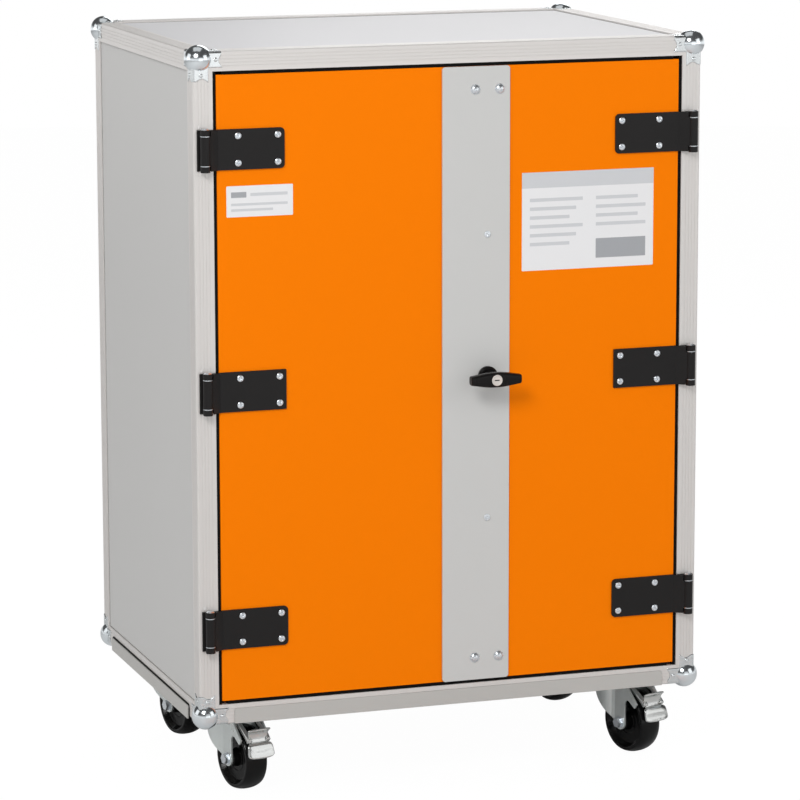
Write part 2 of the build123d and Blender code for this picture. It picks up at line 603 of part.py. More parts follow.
def make_handle():
    base = rod_y(LOCK_X, LOCK_Z, STRIP_FRONT - BASE_T, STRIP_FRONT, BASE_R)
    base = chamfer(base.edges().group_by(Axis.Y)[0], 2.0)
    base -= rod_y(LOCK_X, LOCK_Z, STRIP_FRONT - BASE_T - 1, STRIP_FRONT + 1, NECK_R + TURN_CLEAR)
    save("handle_base", [base])
    front = STRIP_FRONT - HANDLE_OUT
    body = HANDLE_T - HANDLE_BEVEL
    outline = Plane.XZ * grip_outline()
    grip = Pos(LOCK_X, front + HANDLE_T, LOCK_Z) * extrude(outline, amount=body)
    grip += Pos(LOCK_X, front + HANDLE_BEVEL, LOCK_Z) * extrude(outline, amount=HANDLE_BEVEL, taper=40)
    neck = rod_y(LOCK_X, LOCK_Z, front + HANDLE_T / 2, STRIP_FRONT - 0.3, NECK_R)
    neck += Pos(LOCK_X, front + HANDLE_T, LOCK_Z) * Rot(-90, 0, 0) * Cone(
        HANDLE_MID / 2, NECK_R, 10, align=(Align.CENTER, Align.CENTER, Align.MIN))
    handle = grip + neck
    handle -= rod_y(LOCK_X, LOCK_Z, front - 1, front + PLUG_L, PLUG_R + TURN_CLEAR)
    handle -= rod_y(LOCK_X, LOCK_Z, STRIP_FRONT - BASE_T, STRIP_FRONT + 1, SPINDLE_R)
    save("handle", [handle])
    save("spindle", [rod_y(LOCK_X, LOCK_Z, STRIP_FRONT - BASE_T, DOOR_BACK + CASE_LOCK[1] - 4, SPINDLE_R)])
    plug = rod_y(LOCK_X, LOCK_Z, front + 0.3, front + PLUG_L, PLUG_R)
    rim = rod_y(LOCK_X, LOCK_Z, front - PLUG_RIM, front - 0.3, PLUG_R + 1.5)
    plug += rim + rod_y(LOCK_X, LOCK_Z, front - 0.5, front + 0.5, PLUG_R)
    slot = block(LOCK_X - 4.0, LOCK_X + 4.0, front - 2, front + 3, LOCK_Z - 0.8, LOCK_Z + 0.8)
    save("key_plug", [plug - slot])


# --- castors ------------------------------------------------------------------------------------
CASTOR_TOP = FLOOR_LIFT + FLOOR_Z
FORK_TOP = CASTOR_TOP - PLATE[2] - RACE_H - FORK_CLEAR


def fork_plan(inset):
    """Plan outline of a fork: round over the swivel axis, parallel cheeks along the wheel."""
    side, crown, reach = FORK_IN + FORK_T - inset, CROWN_R - inset, 120.0
    plan = Circle(crown) + Pos(reach / 2, 0) * Rectangle(reach, 2 * side)
    blend = Polyline((0, crown), (TRAIL - FOOT_R, side), (TRAIL - FOOT_R, -side), (0, -crown), close=True)
    return plan + make_face(blend)


def cheek_outline(braked):
    """Side view of a fork, u forwards of the swivel axis and z above the floor."""
    back, axle = -CROWN_R - 1, WHEEL_R
    front = TRAIL + FOOT_R
    path = Line((back, FORK_TOP), (back, FORK_TOP - 10)) + Line((back, FORK_TOP - 10), (TRAIL - FOOT_R, axle))
    path += ThreePointArc((TRAIL - FOOT_R, axle), (TRAIL, axle - FOOT_R), (front, axle))
    shoulder = TRAIL + 4
    if braked:
        arch = (front, axle + 28)
        path += Line((front, axle), arch)
        path += ThreePointArc(arch, (front + 3, axle + 37), (front + 10, axle + 38))
        nose = [(front + 10, axle + 38), (front + 24, axle + 29), (front + 29, axle + 36), (shoulder + 10, FORK_TOP)]
        for a, b in zip(nose, nose[1:]):
            path += Line(a, b)
        shoulder += 10
    else:
        path += Line((front, axle), (front - 2, axle + 40)) + Line((front - 2, axle + 40), (shoulder, FORK_TOP))
    return make_face(path + Line((shoulder, FORK_TOP), (back, FORK_TOP)))


def fork(braked):
    """Pressed steel fork in castor coordinates: u along x, swivel axis at the origin."""
    walls = extrude(fork_plan(0.0) - fork_plan(FORK_T), amount=FORK_TOP)
    shape = walls & extrude(Plane.XZ * cheek_outline(braked), amount=60, both=True)
    crown = extrude(fork_plan(0.0), amount=CROWN_T) & block(-CROWN_R - 1, CROWN_R - 4, -60, 60, -1, CROWN_T + 1)
    shape += Pos(0, 0, FORK_TOP - CROWN_T) * crown
    shape -= Pos(0, 0, FORK_TOP) * Cylinder(STEM_R + TURN_CLEAR, 3 * CROWN_T)
    shape -= Pos(TRAIL, 0, WHEEL_R) * Rot(90, 0, 0) * Cylinder(AXLE_R, 80)
    if braked:
        shape -= Pos(PEDAL_PIVOT[0], 0, PEDAL_PIVOT[1]) * Rot(90, 0, 0) * Cylinder(PEDAL_PIN_R, 80)
    return shape


def axle_bolt():
    """Axle through fork and hub, with a hexagon head, a nut and washers."""
    side = FORK_IN + FORK_T
    bolt = Rot(90, 0, 0) * Cylinder(AXLE_R, 2 * side)
    for way in (-1, 1):
        turn = Rot(-90 * way, 0, 0)
        washer = Cylinder(WASHER_R, 1.2, align=(Align.CENTER, Align.CENTER, Align.MIN))
        head = extrude(RegularPolygon(HEX_R, 6), amount=6.5)
        bolt += Pos(0, way * side, 0) * turn * (washer + Pos(0, 0, 1) * head)
    return Pos(TRAIL, 0, WHEEL_R) * bolt


def wheel():
    """One-piece wheel: crowned tread, dished sides, hub with a running bore."""
    half, rim, bore = WHEEL_W / 2, WHEEL_R - 9, AXLE_R + TURN_CLEAR
    hub_half = FORK_IN - WASHER_GAP
    web = half - DISH
    right = [(bore, hub_half), (HUB_R, hub_half), (HUB_R + 2, web), (rim - 5, web), (rim, half), (WHEEL_R - 4, half)]
    path = Line((bore, -hub_half), (bore, hub_half))
    for side in (-1, 1):
        for a, b in zip(right, right[1:]):
            path += Line((a[0], side * a[1]), (b[0], side * b[1]))
    path += ThreePointArc((WHEEL_R - 4, -half), (WHEEL_R, 0), (WHEEL_R - 4, half))
    ring = revolve(Plane.XZ * make_face(path), axis=Axis.Z)
    return Pos(TRAIL, 0, WHEEL_R) * Rot(90, 0, 0) * ring


def side_plate(points, half):
    """A bent plate across the castor from its side view."""
    return extrude(Plane.XZ * make_face(Polyline(*points, close=True)), amount=half, both=True)


def rounded_plate(points, half, z0, z1):
    """A bent plate whose far corners are rounded as seen from the front, from height z0 to z1."""
    mask = Plane.YZ * Pos(0, (z0 + z1) / 2) * RectangleRounded(2 * half, z1 - z0, PEDAL_CORNER)
    return side_plate(points, half) & extrude(mask, amount=4 * PEDAL_PIVOT[0])


def pedal():
    """Brake pedal: pivot pin, two lever arms with a window between them, tab and foot plate."""
    u0, z0 = PEDAL_PIVOT
    arm = FORK_IN - 2 * WASHER_GAP
    pin = Pos(u0, 0, z0) * Rot(90, 0, 0) * Cylinder(PEDAL_PIN_R - TURN_CLEAR, 2 * (FORK_IN + FORK_T) + 3)
    lever = side_plate([(u0 - 4, z0 + 4), (u0 + 9.5, z0 + 4), (u0 + 40, z0 - 14), (u0 + 48, z0 - 21),
                        (u0 + 45, z0 - 24), (u0 + 38, z0 - 18), (u0 + 8, z0), (u0 - 4, z0 - 1)], arm)
    lever -= block(u0 + 10, u0 + 33, -PEDAL_WINDOW / 2, PEDAL_WINDOW / 2, z0 - 40, z0 + 20)
    lip = [(u0 + 45, z0 - 24), (u0 + 48, z0 - 21), (u0 + 52, z0 - 28), (u0 + 56, z0 - 44),
           (u0 + 59, z0 - 46), (u0 + 57, z0 - 48.5), (u0 + 53, z0 - 46), (u0 + 49, z0 - 30)]
    tab = [(u0 + 38, z0 - 17), (u0 + 40, z0 - 14), (u0 + 43, z0 - 6), (u0 + 49, z0 - 1),
           (u0 + 51, z0 - 3.5), (u0 + 46, z0 - 8.5), (u0 + 44, z0 - 19)]
    low, high = z0 - 48.5, z0 - 1
    return (pin + lever + rounded_plate(lip, PEDAL_W / 2, low, z0 - 8)
            + rounded_plate(tab, PEDAL_TAB_W / 2, z0 - 32, high))


def castor_places():
    near, far = CASTOR_Y, CASE_D - CASTOR_REAR
    return [("front_left", CASTOR_X, near, True), ("front_right", CASE_W - CASTOR_X, near, True),
            ("rear_left", CASTOR_X, far, False), ("rear_right", CASE_W - CASTOR_X, far, False)]


def castor_plate(x, y):
    """Top plate with the bearing race and the stem that the fork turns on, and its four bolts."""
    width, length, thick = PLATE
    under = CASTOR_TOP - thick
    plate = Pos(x, y, CASTOR_TOP - thick / 2) * Box(width, length, thick)
    plate = fillet(plate.edges().filter_by(Axis.Z), 8.0)
    low = (Align.CENTER, Align.CENTER, Align.MAX)
    plate += Pos(x, y, under) * Cylinder(RACE_R, RACE_H, align=low)
    plate += Pos(x, y, under) * Cylinder(STEM_R, RACE_H + FORK_CLEAR + CROWN_T + 1, align=low)
    plate += Pos(x, y, FORK_TOP - CROWN_T - FORK_CLEAR) * Cylinder(2 * STEM_R - 2, 4.0, align=low)
    bolts = []
    for sx in (-1, 1):
        for sy in (-1, 1):
            hx, hy = x + sx * PLATE_HOLES[0] / 2, y + sy * PLATE_HOLES[1] / 2
            plate -= Pos(hx, hy, CASTOR_TOP) * Cylinder(PLATE_BOLT_R, 4 * thick)
            head = extrude(RegularPolygon(HEX_R, 6), amount=-5.3)
            shank = Cylinder(PLATE_BOLT_R, thick, align=(Align.CENTER, Align.CENTER, Align.MIN))
            bolts.append(Pos(hx, hy, under) * (head + shank))
    return plate, bolts


def make_castors():
    plates, bolts = [], []
    for (name, x, y, braked), angle in zip(castor_places(), SWIVEL_DEG):
        plate, fixings = castor_plate(x, y)
        plates.append(plate)
        bolts += fixings
        put = Pos(x, y, 0) * Rot(0, 0, angle - 90)
        save(f"{name}_fork", [put * fork(braked)], lift=0)
        save(f"{name}_axle", [put * axle_bolt()], lift=0)
        save(f"{name}_wheel", [put * wheel()], lift=0)
        if braked:
            save(f"{name}_pedal", [put * pedal()], lift=0)
    save("castor_plates", plates, lift=0)
    save("plate_bolts", bolts, lift=0)


os.makedirs("parts", exist_ok=True)
for make in (make_profiles, make_panels, make_shelves, make_corners, make_skirts, make_seal, make_doors,
             make_strip, make_lock, make_handle, make_castors):
    make()
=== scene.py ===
"""Looks of a double-door battery cabinet: finishes, smooth metalwork, labels, studio and camera."""
import json
import logging
import math
from dataclasses import dataclass, field, replace
from enum import Enum
from typing import Iterable, Sequence

import bpy
import numpy as np
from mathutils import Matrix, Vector

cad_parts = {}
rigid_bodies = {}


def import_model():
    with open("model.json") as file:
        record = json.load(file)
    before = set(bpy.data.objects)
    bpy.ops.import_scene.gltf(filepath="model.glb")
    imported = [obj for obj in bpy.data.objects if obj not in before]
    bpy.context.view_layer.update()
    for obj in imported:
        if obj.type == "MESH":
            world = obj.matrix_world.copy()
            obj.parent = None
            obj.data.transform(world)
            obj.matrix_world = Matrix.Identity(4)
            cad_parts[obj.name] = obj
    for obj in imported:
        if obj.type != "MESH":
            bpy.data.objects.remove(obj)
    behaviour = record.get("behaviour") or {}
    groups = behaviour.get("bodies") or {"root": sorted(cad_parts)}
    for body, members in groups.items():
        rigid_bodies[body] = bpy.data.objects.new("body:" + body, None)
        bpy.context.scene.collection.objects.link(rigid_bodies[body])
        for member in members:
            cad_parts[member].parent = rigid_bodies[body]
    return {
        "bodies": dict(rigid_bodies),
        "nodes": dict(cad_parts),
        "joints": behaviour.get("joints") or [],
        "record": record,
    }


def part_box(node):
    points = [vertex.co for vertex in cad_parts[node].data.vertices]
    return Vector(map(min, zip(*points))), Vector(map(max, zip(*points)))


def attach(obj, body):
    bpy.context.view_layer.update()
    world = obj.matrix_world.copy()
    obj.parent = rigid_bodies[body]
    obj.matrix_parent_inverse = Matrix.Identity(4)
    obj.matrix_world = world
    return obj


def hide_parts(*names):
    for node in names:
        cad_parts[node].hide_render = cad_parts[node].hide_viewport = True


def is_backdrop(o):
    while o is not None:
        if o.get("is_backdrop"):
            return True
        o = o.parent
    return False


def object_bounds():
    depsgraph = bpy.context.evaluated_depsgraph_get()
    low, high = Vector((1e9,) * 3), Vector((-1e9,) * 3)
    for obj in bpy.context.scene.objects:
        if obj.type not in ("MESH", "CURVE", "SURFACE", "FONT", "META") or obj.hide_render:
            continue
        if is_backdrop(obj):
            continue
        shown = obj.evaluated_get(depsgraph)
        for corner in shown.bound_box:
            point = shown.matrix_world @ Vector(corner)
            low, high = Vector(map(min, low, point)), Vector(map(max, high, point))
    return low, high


LOG = logging.getLogger("battery_cabinet")
MM = 0.001
Array = np.ndarray


# --- finishes -----------------------------------------------------------------------------------
class Grain(Enum):
    """How the fine pattern of a finish is stretched."""

    EVEN = (1.0, 1.0, 1.0)
    UPRIGHT = (1.0, 1.0, 0.04)
    ALONG_X = (0.04, 1.0, 1.0)
    ALONG_Y = (1.0, 0.04, 1.0)


@dataclass(frozen=True)
class Finish:
    """A finish of one material: colour with slight variation, gloss and fine relief."""

    name: str
    colour: tuple[float, float, float]
    metallic: float = 0.0
    roughness: float = 0.4
    vary: float = 0.04
    vary_scale: float = 6.0
    rough_vary: float = 0.06
    relief: float = 0.0
    relief_scale: float = 900.0
    coat: float = 0.0
    specular: float = 0.5
    grain: Grain = Grain.EVEN
    edge: float = 0.0
    coat_roughness: float = 0.12
    relief_height: float = 0.0004

    def material(self) -> bpy.types.Material:
        """Builds the node material.

        Returns:
            The material, made once and found by its name afterwards.
        """
        known = bpy.data.materials.get(self.name)
        if known is not None:
            return known
        mat = bpy.data.materials.new(self.name)
        mat.use_nodes = True
        tree = mat.node_tree
        shader = tree.nodes["Principled BSDF"]
        shader.inputs["Metallic"].default_value = self.metallic
        shader.inputs["Coat Weight"].default_value = self.coat
        shader.inputs["Coat Roughness"].default_value = self.coat_roughness
        shader.inputs["Specular IOR Level"].default_value = self.specular
        fine, broad = self._noise(tree, self.relief_scale, 3.0), self._noise(tree, self.vary_scale, 4.0)
        mix = tree.nodes.new("ShaderNodeMix")
        mix.data_type = "RGBA"
        low, high = (tuple(c * (1.0 + way * self.vary) for c in self.colour) for way in (-1.0, 1.0))
        mix.inputs[6].default_value = (*low, 1.0)
        mix.inputs[7].default_value = (*high, 1.0)
        tree.links.new(broad, mix.inputs[0])
        tree.links.new(mix.outputs[2], shader.inputs["Base Color"])
        span = tree.nodes.new("ShaderNodeMapRange")
        span.inputs["To Min"].default_value = max(0.02, self.roughness - self.rough_vary)
        span.inputs["To Max"].default_value = self.roughness + self.rough_vary
        tree.links.new(broad, span.inputs["Value"])
        tree.links.new(span.outputs[0], shader.inputs["Roughness"])
        normal = None
        if self.edge:
            rounding = tree.nodes.new("ShaderNodeBevel")
            rounding.samples = 6
            rounding.inputs["Radius"].default_value = self.edge
            normal = rounding.outputs["Normal"]
        if self.relief:
            bump = tree.nodes.new("ShaderNodeBump")
            bump.inputs["Strength"].default_value = self.relief
            bump.inputs["Distance"].default_value = self.relief_height
            tree.links.new(fine, bump.inputs["Height"])
            if normal is not None:
                tree.links.new(normal, bump.inputs["Normal"])
            normal = bump.outputs["Normal"]
        if normal is not None:
            tree.links.new(normal, shader.inputs["Normal"])
        return mat

    def _noise(self, tree: bpy.types.NodeTree, scale: float, detail: float) -> bpy.types.NodeSocket:
        """Adds a noise on object coordinates, stretched along the grain.

        Args:
            tree: node tree to add to.
            scale: noise scale per metre.
            detail: octaves.

        Returns:
            The noise's factor socket.
        """
        place = tree.nodes.new("ShaderNodeTexCoord")
        mapping = tree.nodes.new("ShaderNodeMapping")
        mapping.inputs["Scale"].default_value = self.grain.value
        noise = tree.nodes.new("ShaderNodeTexNoise")
        noise.inputs["Scale"].default_value = scale
        noise.inputs["Detail"].default_value = detail
        tree.links.new(place.outputs["Object"], mapping.inputs["Vector"])
        tree.links.new(mapping.outputs["Vector"], noise.inputs["Vector"])
        return noise.outputs["Fac"]


ALU_UPRIGHT = Finish("anodised_upright", (0.69, 0.665, 0.645), 0.3, 0.34, relief=0.05, relief_scale=700,
                     grain=Grain.UPRIGHT, edge=0.0003)
ALU_ACROSS = replace(ALU_UPRIGHT, name="anodised_across", grain=Grain.ALONG_X)
ALU_DEEP = replace(ALU_UPRIGHT, name="anodised_deep", grain=Grain.ALONG_Y)
SIDE_GREY = Finish("side_laminate", (0.57, 0.565, 0.555), 0.0, 0.42, 0.012, 3.0, relief=0.03, specular=0.2)
# painted light: the top panel is the side laminate made lighter and cooler, standing in for the light that
# falls on it from above
TOP_GREY_PAINTED_LIGHT = Finish("top_laminate", (0.60, 0.595, 0.61), 0.0, 0.42, 0.012, 3.0, relief=0.03, specular=0.3)
SHELF_GREY = Finish("shelf_laminate", (0.50, 0.50, 0.50), 0.0, 0.5, 0.03, 5.0, relief=0.06)
ORANGE = Finish("orange_laminate", (0.95, 0.207, 0.0), 0.0, 0.34, 0.012, 2.0, relief=0.04, relief_scale=1400,
                specular=0.04, edge=0.0006)
STRIP_GREY = Finish("strip_paint", (0.585, 0.585, 0.575), 0.0, 0.38, 0.012, 4.0, relief=0.05, specular=0.3,
                    edge=0.0006)
SKIRT_GREY = Finish("skirt_paint", (0.49, 0.48, 0.46), 0.0, 0.42, 0.02, 5.0, relief=0.05, specular=0.3,
                    edge=0.0006)
BLACK_COAT = Finish("black_powder_coat", (0.012, 0.011, 0.011), 0.0, 0.36, 0.10, 20.0, relief=0.16,
                    relief_scale=1500, specular=0.2, edge=0.0006)
HANDLE_BLACK = Finish("black_handle", (0.007, 0.006, 0.006), 0.0, 0.28, 0.10, 30.0, relief=0.06,
                      relief_scale=1500, specular=0.16, edge=0.0008)
RUBBER = Finish("black_rubber", (0.003, 0.003, 0.003), 0.0, 0.6, 0.15, 30.0, relief=0.10, specular=0.1)
WHEEL_BLACK = Finish("moulded_black", (0.003, 0.003, 0.003), 0.0, 0.2, 0.15, 40.0, 0.04, relief=0.03,
                     specular=0.22)
BALL_ZINC = Finish("ball_zinc", (0.84, 0.89, 0.92), 1.0, 0.17, 0.05, 60.0, 0.05, relief=0.04,
                   relief_scale=300)
LEG_ZINC = Finish("leg_zinc", (0.74, 0.77, 0.78), 1.0, 0.26, 0.06, 60.0, 0.08, relief=0.08, relief_scale=400)
SCREW_ZINC = Finish("screw_zinc", (0.78, 0.82, 0.86), 1.0, 0.34, 0.05, 200.0, 0.06)
FORK_ZINC = Finish("fork_zinc", (0.74, 0.78, 0.77), 0.55, 0.3, 0.08, 40.0, 0.08, relief=0.12,
                   relief_scale=350, edge=0.0010)
PEDAL_NICKEL = Finish("cast_nickel", (0.66, 0.67, 0.66), 1.0, 0.16, 0.10, 60.0, 0.08, relief=0.35,
                      relief_scale=160)
KEY_METAL = Finish("key_metal", (0.70, 0.65, 0.61), 0.35, 0.42, 0.05, 200.0, 0.06)
# painted shade: a dark grey that stands in for the shadow in the gaps round the case panels
SEAM_SHADE_PAINT = Finish("joint_shadow", (0.16, 0.155, 0.15), 0.0, 0.6, 0.05, 30.0, specular=0.2)
GUIDE_BLACK = Finish("guide_black", (0.03, 0.03, 0.03), 0.0, 0.45, 0.10, 30.0)
LABEL_WHITE = Finish("label_white", (0.80, 0.80, 0.81), 0.0, 0.3, 0.01, 10.0, specular=0.4)
LABEL_GREY = replace(LABEL_WHITE, name="label_grey", colour=(0.36, 0.37, 0.39))
LABEL_PALE = replace(LABEL_WHITE, name="label_pale", colour=(0.60, 0.61, 0.63))

NODE_FINISH: dict[Finish, tuple[str, ...]] = {
    ALU_UPRIGHT: ("front_uprights", "rear_uprights"),
    ALU_ACROSS: ("front_rails", "rear_rails"),
    ALU_DEEP: ("side_rails", "shelf_supports"),
    SIDE_GREY: ("left_panel", "right_panel", "back_panel"),
    TOP_GREY_PAINTED_LIGHT: ("top_panel",),
    SHELF_GREY: ("floor_board", "shelves"),
    ORANGE: ("left_door_panel", "right_door_panel"),
    STRIP_GREY: ("cover_strip",),
    SKIRT_GREY: ("end_skirts", "side_skirts"),
    BLACK_COAT: ("left_door_leaves", "right_door_leaves", "left_frame_leaves", "right_frame_leaves"),
    HANDLE_BLACK: ("handle", "handle_base"),
    RUBBER: ("door_seal", "skirt_gaskets"),
    GUIDE_BLACK: ("rod_guides", "rod_keepers"),
    BALL_ZINC: ("ball_corners", "corner_rivets"),
    SCREW_ZINC: ("left_leaf_screws", "right_leaf_screws", "left_hinge_pins", "right_hinge_pins",
                 "strip_bolts", "strip_screws", "key_plug"),
    FORK_ZINC: ("castor_plates", "plate_bolts", "lock_case", "upper_rod", "lower_rod", "spindle"),
}

CASTOR_FINISH: dict[str, Finish] = {"_fork": FORK_ZINC, "_axle": SCREW_ZINC, "_wheel": WHEEL_BLACK,
                                    "_pedal": PEDAL_NICKEL}


# --- studio -------------------------------------------------------------------------------------
@dataclass
class Studio:
    """Pale floor, white surroundings for the camera, soft lamps and the camera itself."""

    backdrop: float = 1.0
    floor_reach: float = 9.0
    floor_colour: float = 0.62
    floor_glow: float = 1.03
    glow_share: float = 0.95
    world_level: float = 0.55
    gloss_level: float = 0.07
    ceiling_from: tuple[float, float] = (0.0, 0.24)
    eye: tuple[float, float, float] = (-1.9149, -5.6484, 1.6425)
    turn_deg: float = 18.816
    pitch_deg: float = 10.368
    roll_deg: float = 0.116
    focal_px: float = 3852.5
    frame_px: float = 800.0
    sensor_mm: float = 36.0
    lamps: list[tuple[str, tuple[float, float, float], float, float]] = field(default_factory=lambda: [
        ("key", (-2.6, -3.6, 3.6), 1.5, 116.0),
        ("fill", (3.4, -3.4, 2.2), 2.8, 26.0),
        ("front", (0.4, -5.0, 0.9), 3.0, 15.0),
        ("left", (-4.4, 0.6, 2.2), 2.6, 20.0),
        ("top", (-0.4, 0.2, 4.6), 3.0, 16.0),
        ("rim", (1.8, 3.2, 3.0), 2.4, 40.0),
    ])

    def build(self, target: Vector) -> None:
        """Adds floor, world, lamps and camera.

        Args:
            target: point that the lamps look at.
        """
        self._world()
        self._floor()
        for name, place, size, power in self.lamps:
            self._lamp(name, Vector(place), size, power, target)
        self._camera()

    def _world(self) -> None:
        """White for camera and glass rays, a plain level for the light, and for gloss a white surround.

        Gloss rays see the white of the surround at the horizon; from there upwards it falls evenly
        to a grey ceiling, so that polished metal shows both.
        """
        world = bpy.data.worlds.new("studio")
        bpy.context.scene.world = world
        world.use_nodes = True
        tree = world.node_tree
        back = tree.nodes["Background"]
        path = tree.nodes.new("ShaderNodeLightPath")
        either = self._math(tree, "MAXIMUM", path.outputs["Is Camera Ray"],
                            path.outputs["Is Transmission Ray"])
        plain = self._span(tree, either, (0.0, 1.0), (self.world_level, self.backdrop))
        direction = tree.nodes.new("ShaderNodeTexCoord")
        parts = tree.nodes.new("ShaderNodeSeparateXYZ")
        tree.links.new(direction.outputs["Generated"], parts.inputs[0])
        gloss = self._span(tree, parts.outputs["Z"], self.ceiling_from, (self.backdrop, self.gloss_level))
        apart = self._math(tree, "SUBTRACT", gloss, plain)
        extra = self._math(tree, "MULTIPLY", apart, path.outputs["Is Glossy Ray"])
        tree.links.new(self._math(tree, "ADD", plain, extra), back.inputs["Strength"])
        back.inputs["Color"].default_value = (1.0, 1.0, 1.0, 1.0)

    def _math(self, tree: bpy.types.NodeTree, kind: str, a: bpy.types.NodeSocket,
              b: bpy.types.NodeSocket) -> bpy.types.NodeSocket:
        """Adds a math node on two sockets and returns its result."""
        node = tree.nodes.new("ShaderNodeMath")
        node.operation = kind
        tree.links.new(a, node.inputs[0])
        tree.links.new(b, node.inputs[1])
        return node.outputs[0]

    def _span(self, tree: bpy.types.NodeTree, value: bpy.types.NodeSocket, given: tuple[float, float],
              wanted: tuple[float, float]) -> bpy.types.NodeSocket:
        """Adds a node that carries one range of a value over to another and returns its result."""
        node = tree.nodes.new("ShaderNodeMapRange")
        for name, number in zip(("From Min", "From Max", "To Min", "To Max"), (*given, *wanted)):
            node.inputs[name].default_value = number
        tree.links.new(value, node.inputs["Value"])
        return node.outputs[0]

    def _floor(self) -> None:
        """A wide round floor whose colour fades into the white around it."""
        rings, spokes = 12, 64
        radius = self.floor_reach * np.linspace(0.0, 1.0, rings) ** 2
        angle = np.linspace(0.0, 2 * np.pi, spokes, endpoint=False)
        grid = np.stack([radius[:, None] * np.cos(angle), radius[:, None] * np.sin(angle),
                         np.zeros((rings, spokes))], -1)
        floor = grid_piece("floor", grid, closed_v=True)
        mat = bpy.data.materials.new("pale_floor")
        mat.use_nodes = True
        tree = mat.node_tree
        shader = tree.nodes["Principled BSDF"]
        shader.inputs["Base Color"].default_value = (*[self.floor_colour] * 3, 1.0)
        shader.inputs["Roughness"].default_value = 0.55
        glow = tree.nodes.new("ShaderNodeEmission")
        glow.inputs["Strength"].default_value = self.floor_glow
        path = tree.nodes.new("ShaderNodeLightPath")
        mix = tree.nodes.new("ShaderNodeMixShader")
        share = tree.nodes.new("ShaderNodeMath")
        share.operation = "MULTIPLY"
        share.inputs[1].default_value = self.glow_share
        tree.links.new(path.outputs["Is Camera Ray"], share.inputs[0])
        tree.links.new(share.outputs[0], mix.inputs[0])
        tree.links.new(shader.outputs[0], mix.inputs[1])
        tree.links.new(glow.outputs[0], mix.inputs[2])
        tree.links.new(mix.outputs[0], tree.nodes["Material Output"].inputs["Surface"])
        floor.data.materials.append(mat)
        floor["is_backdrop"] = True

    def _lamp(self, name: str, place: Vector, size: float, power: float, target: Vector) -> None:
        """Adds one square area lamp that looks at the target."""
        data = bpy.data.lights.new(name, "AREA")
        data.size = size
        data.energy = power
        lamp = bpy.data.objects.new(name, data)
        lamp.location = place
        lamp.rotation_euler = (target - place).to_track_quat("-Z", "Y").to_euler()
        bpy.context.scene.collection.objects.link(lamp)

    def _camera(self) -> None:
        """Adds the camera, without shift or depth of field."""
        data = bpy.data.cameras.new("camera")
        data.sensor_width = self.sensor_mm
        data.lens = self.focal_px * self.sensor_mm / self.frame_px
        data.clip_end = 60.0
        camera = bpy.data.objects.new("camera", data)
        camera.location = self.eye
        camera.rotation_euler = (math.radians(90.0 - self.pitch_deg), math.radians(self.roll_deg),
                                 -math.radians(self.turn_deg))
        bpy.context.scene.collection.objects.link(camera)
        bpy.context.scene.camera = camera


# --- mesh tools ---------------------------------------------------------------------------------
def mesh_piece(name: str, points: Array, faces: Sequence[Sequence[int]],
               smooth: bool = True) -> bpy.types.Object:
    """Makes an object at the origin from points and faces.

    Args:
        name: piece name.
        points: n by 3 array in metres.
        faces: vertex indices of each face.
        smooth: whether faces shade smoothly.

    Returns:
        The new object, linked to the scene.
    """
    mesh = bpy.data.meshes.new(name)
    mesh.from_pydata(np.asarray(points, float).reshape(-1, 3).tolist(), [], [list(f) for f in faces])
    mesh.polygons.foreach_set("use_smooth", np.full(len(mesh.polygons), smooth))
    mesh.update()
    piece = bpy.data.objects.new(name, mesh)
    bpy.context.scene.collection.objects.link(piece)
    LOG.info("%s: %d faces", name, len(mesh.polygons))
    return piece


def grid_faces(rows: int, cols: int, closed_u: bool, closed_v: bool) -> Array:
    """Quads between neighbouring points of a grid, wrapped where it is closed."""
    i = np.arange(rows if closed_u else rows - 1)
    j = np.arange(cols if closed_v else cols - 1)
    a = (i[:, None] * cols + j).ravel()
    b = (i[:, None] * cols + (j + 1) % cols).ravel()
    c = ((i[:, None] + 1) % rows * cols + (j + 1) % cols).ravel()
    d = ((i[:, None] + 1) % rows * cols + j).ravel()
    return np.stack([a, b, c, d], -1)


def grid_piece(name: str, grid: Array, closed_u: bool = False, closed_v: bool = False) -> bpy.types.Object:
    """A surface from a grid of points: rows run along u, columns along v."""
    rows, cols = grid.shape[:2]
    return mesh_piece(name, grid.reshape(-1, 3), grid_faces(rows, cols, closed_u, closed_v).tolist())


@dataclass
class Shell:
    """A mesh in the making: points in metres and faces."""

    points: Array
    faces: list[tuple[int, ...]]

    @classmethod
    def grid(cls, grid: Array, closed_u: bool = False, closed_v: bool = False) -> "Shell":
        """From a grid of points, rows along u and columns along v."""
        rows, cols = grid.shape[:2]
        quads = grid_faces(rows, cols, closed_u, closed_v).tolist()
        return cls(grid.reshape(-1, 3), [tuple(f) for f in quads])

    @classmethod
    def join(cls, shells: Iterable["Shell"]) -> "Shell":
        """Several shells as one."""
        points, faces, start = [], [], 0
        for shell in shells:
            points.append(shell.points)
            faces += [tuple(i + start for i in f) for f in shell.faces]
            start += len(shell.points)
        return cls(np.concatenate(points), faces)

    def at(self, origin: Sequence[float], x: Sequence[float], y: Sequence[float],
           z: Sequence[float]) -> "Shell":
        """Placed with its own axes along x, y and z; a mirrored frame turns its faces round."""
        frame = np.array([x, y, z], float)
        turned = self.faces if np.linalg.det(frame) > 0 else [f[::-1] for f in self.faces]
        return Shell(self.points @ frame + np.asarray(origin, float), turned)

    def piece(self, name: str, finish: Finish) -> bpy.types.Object:
        """Makes the Blender object."""
        made = mesh_piece(name, self.points, self.faces)
        made.data.materials.append(finish.material())
        return made


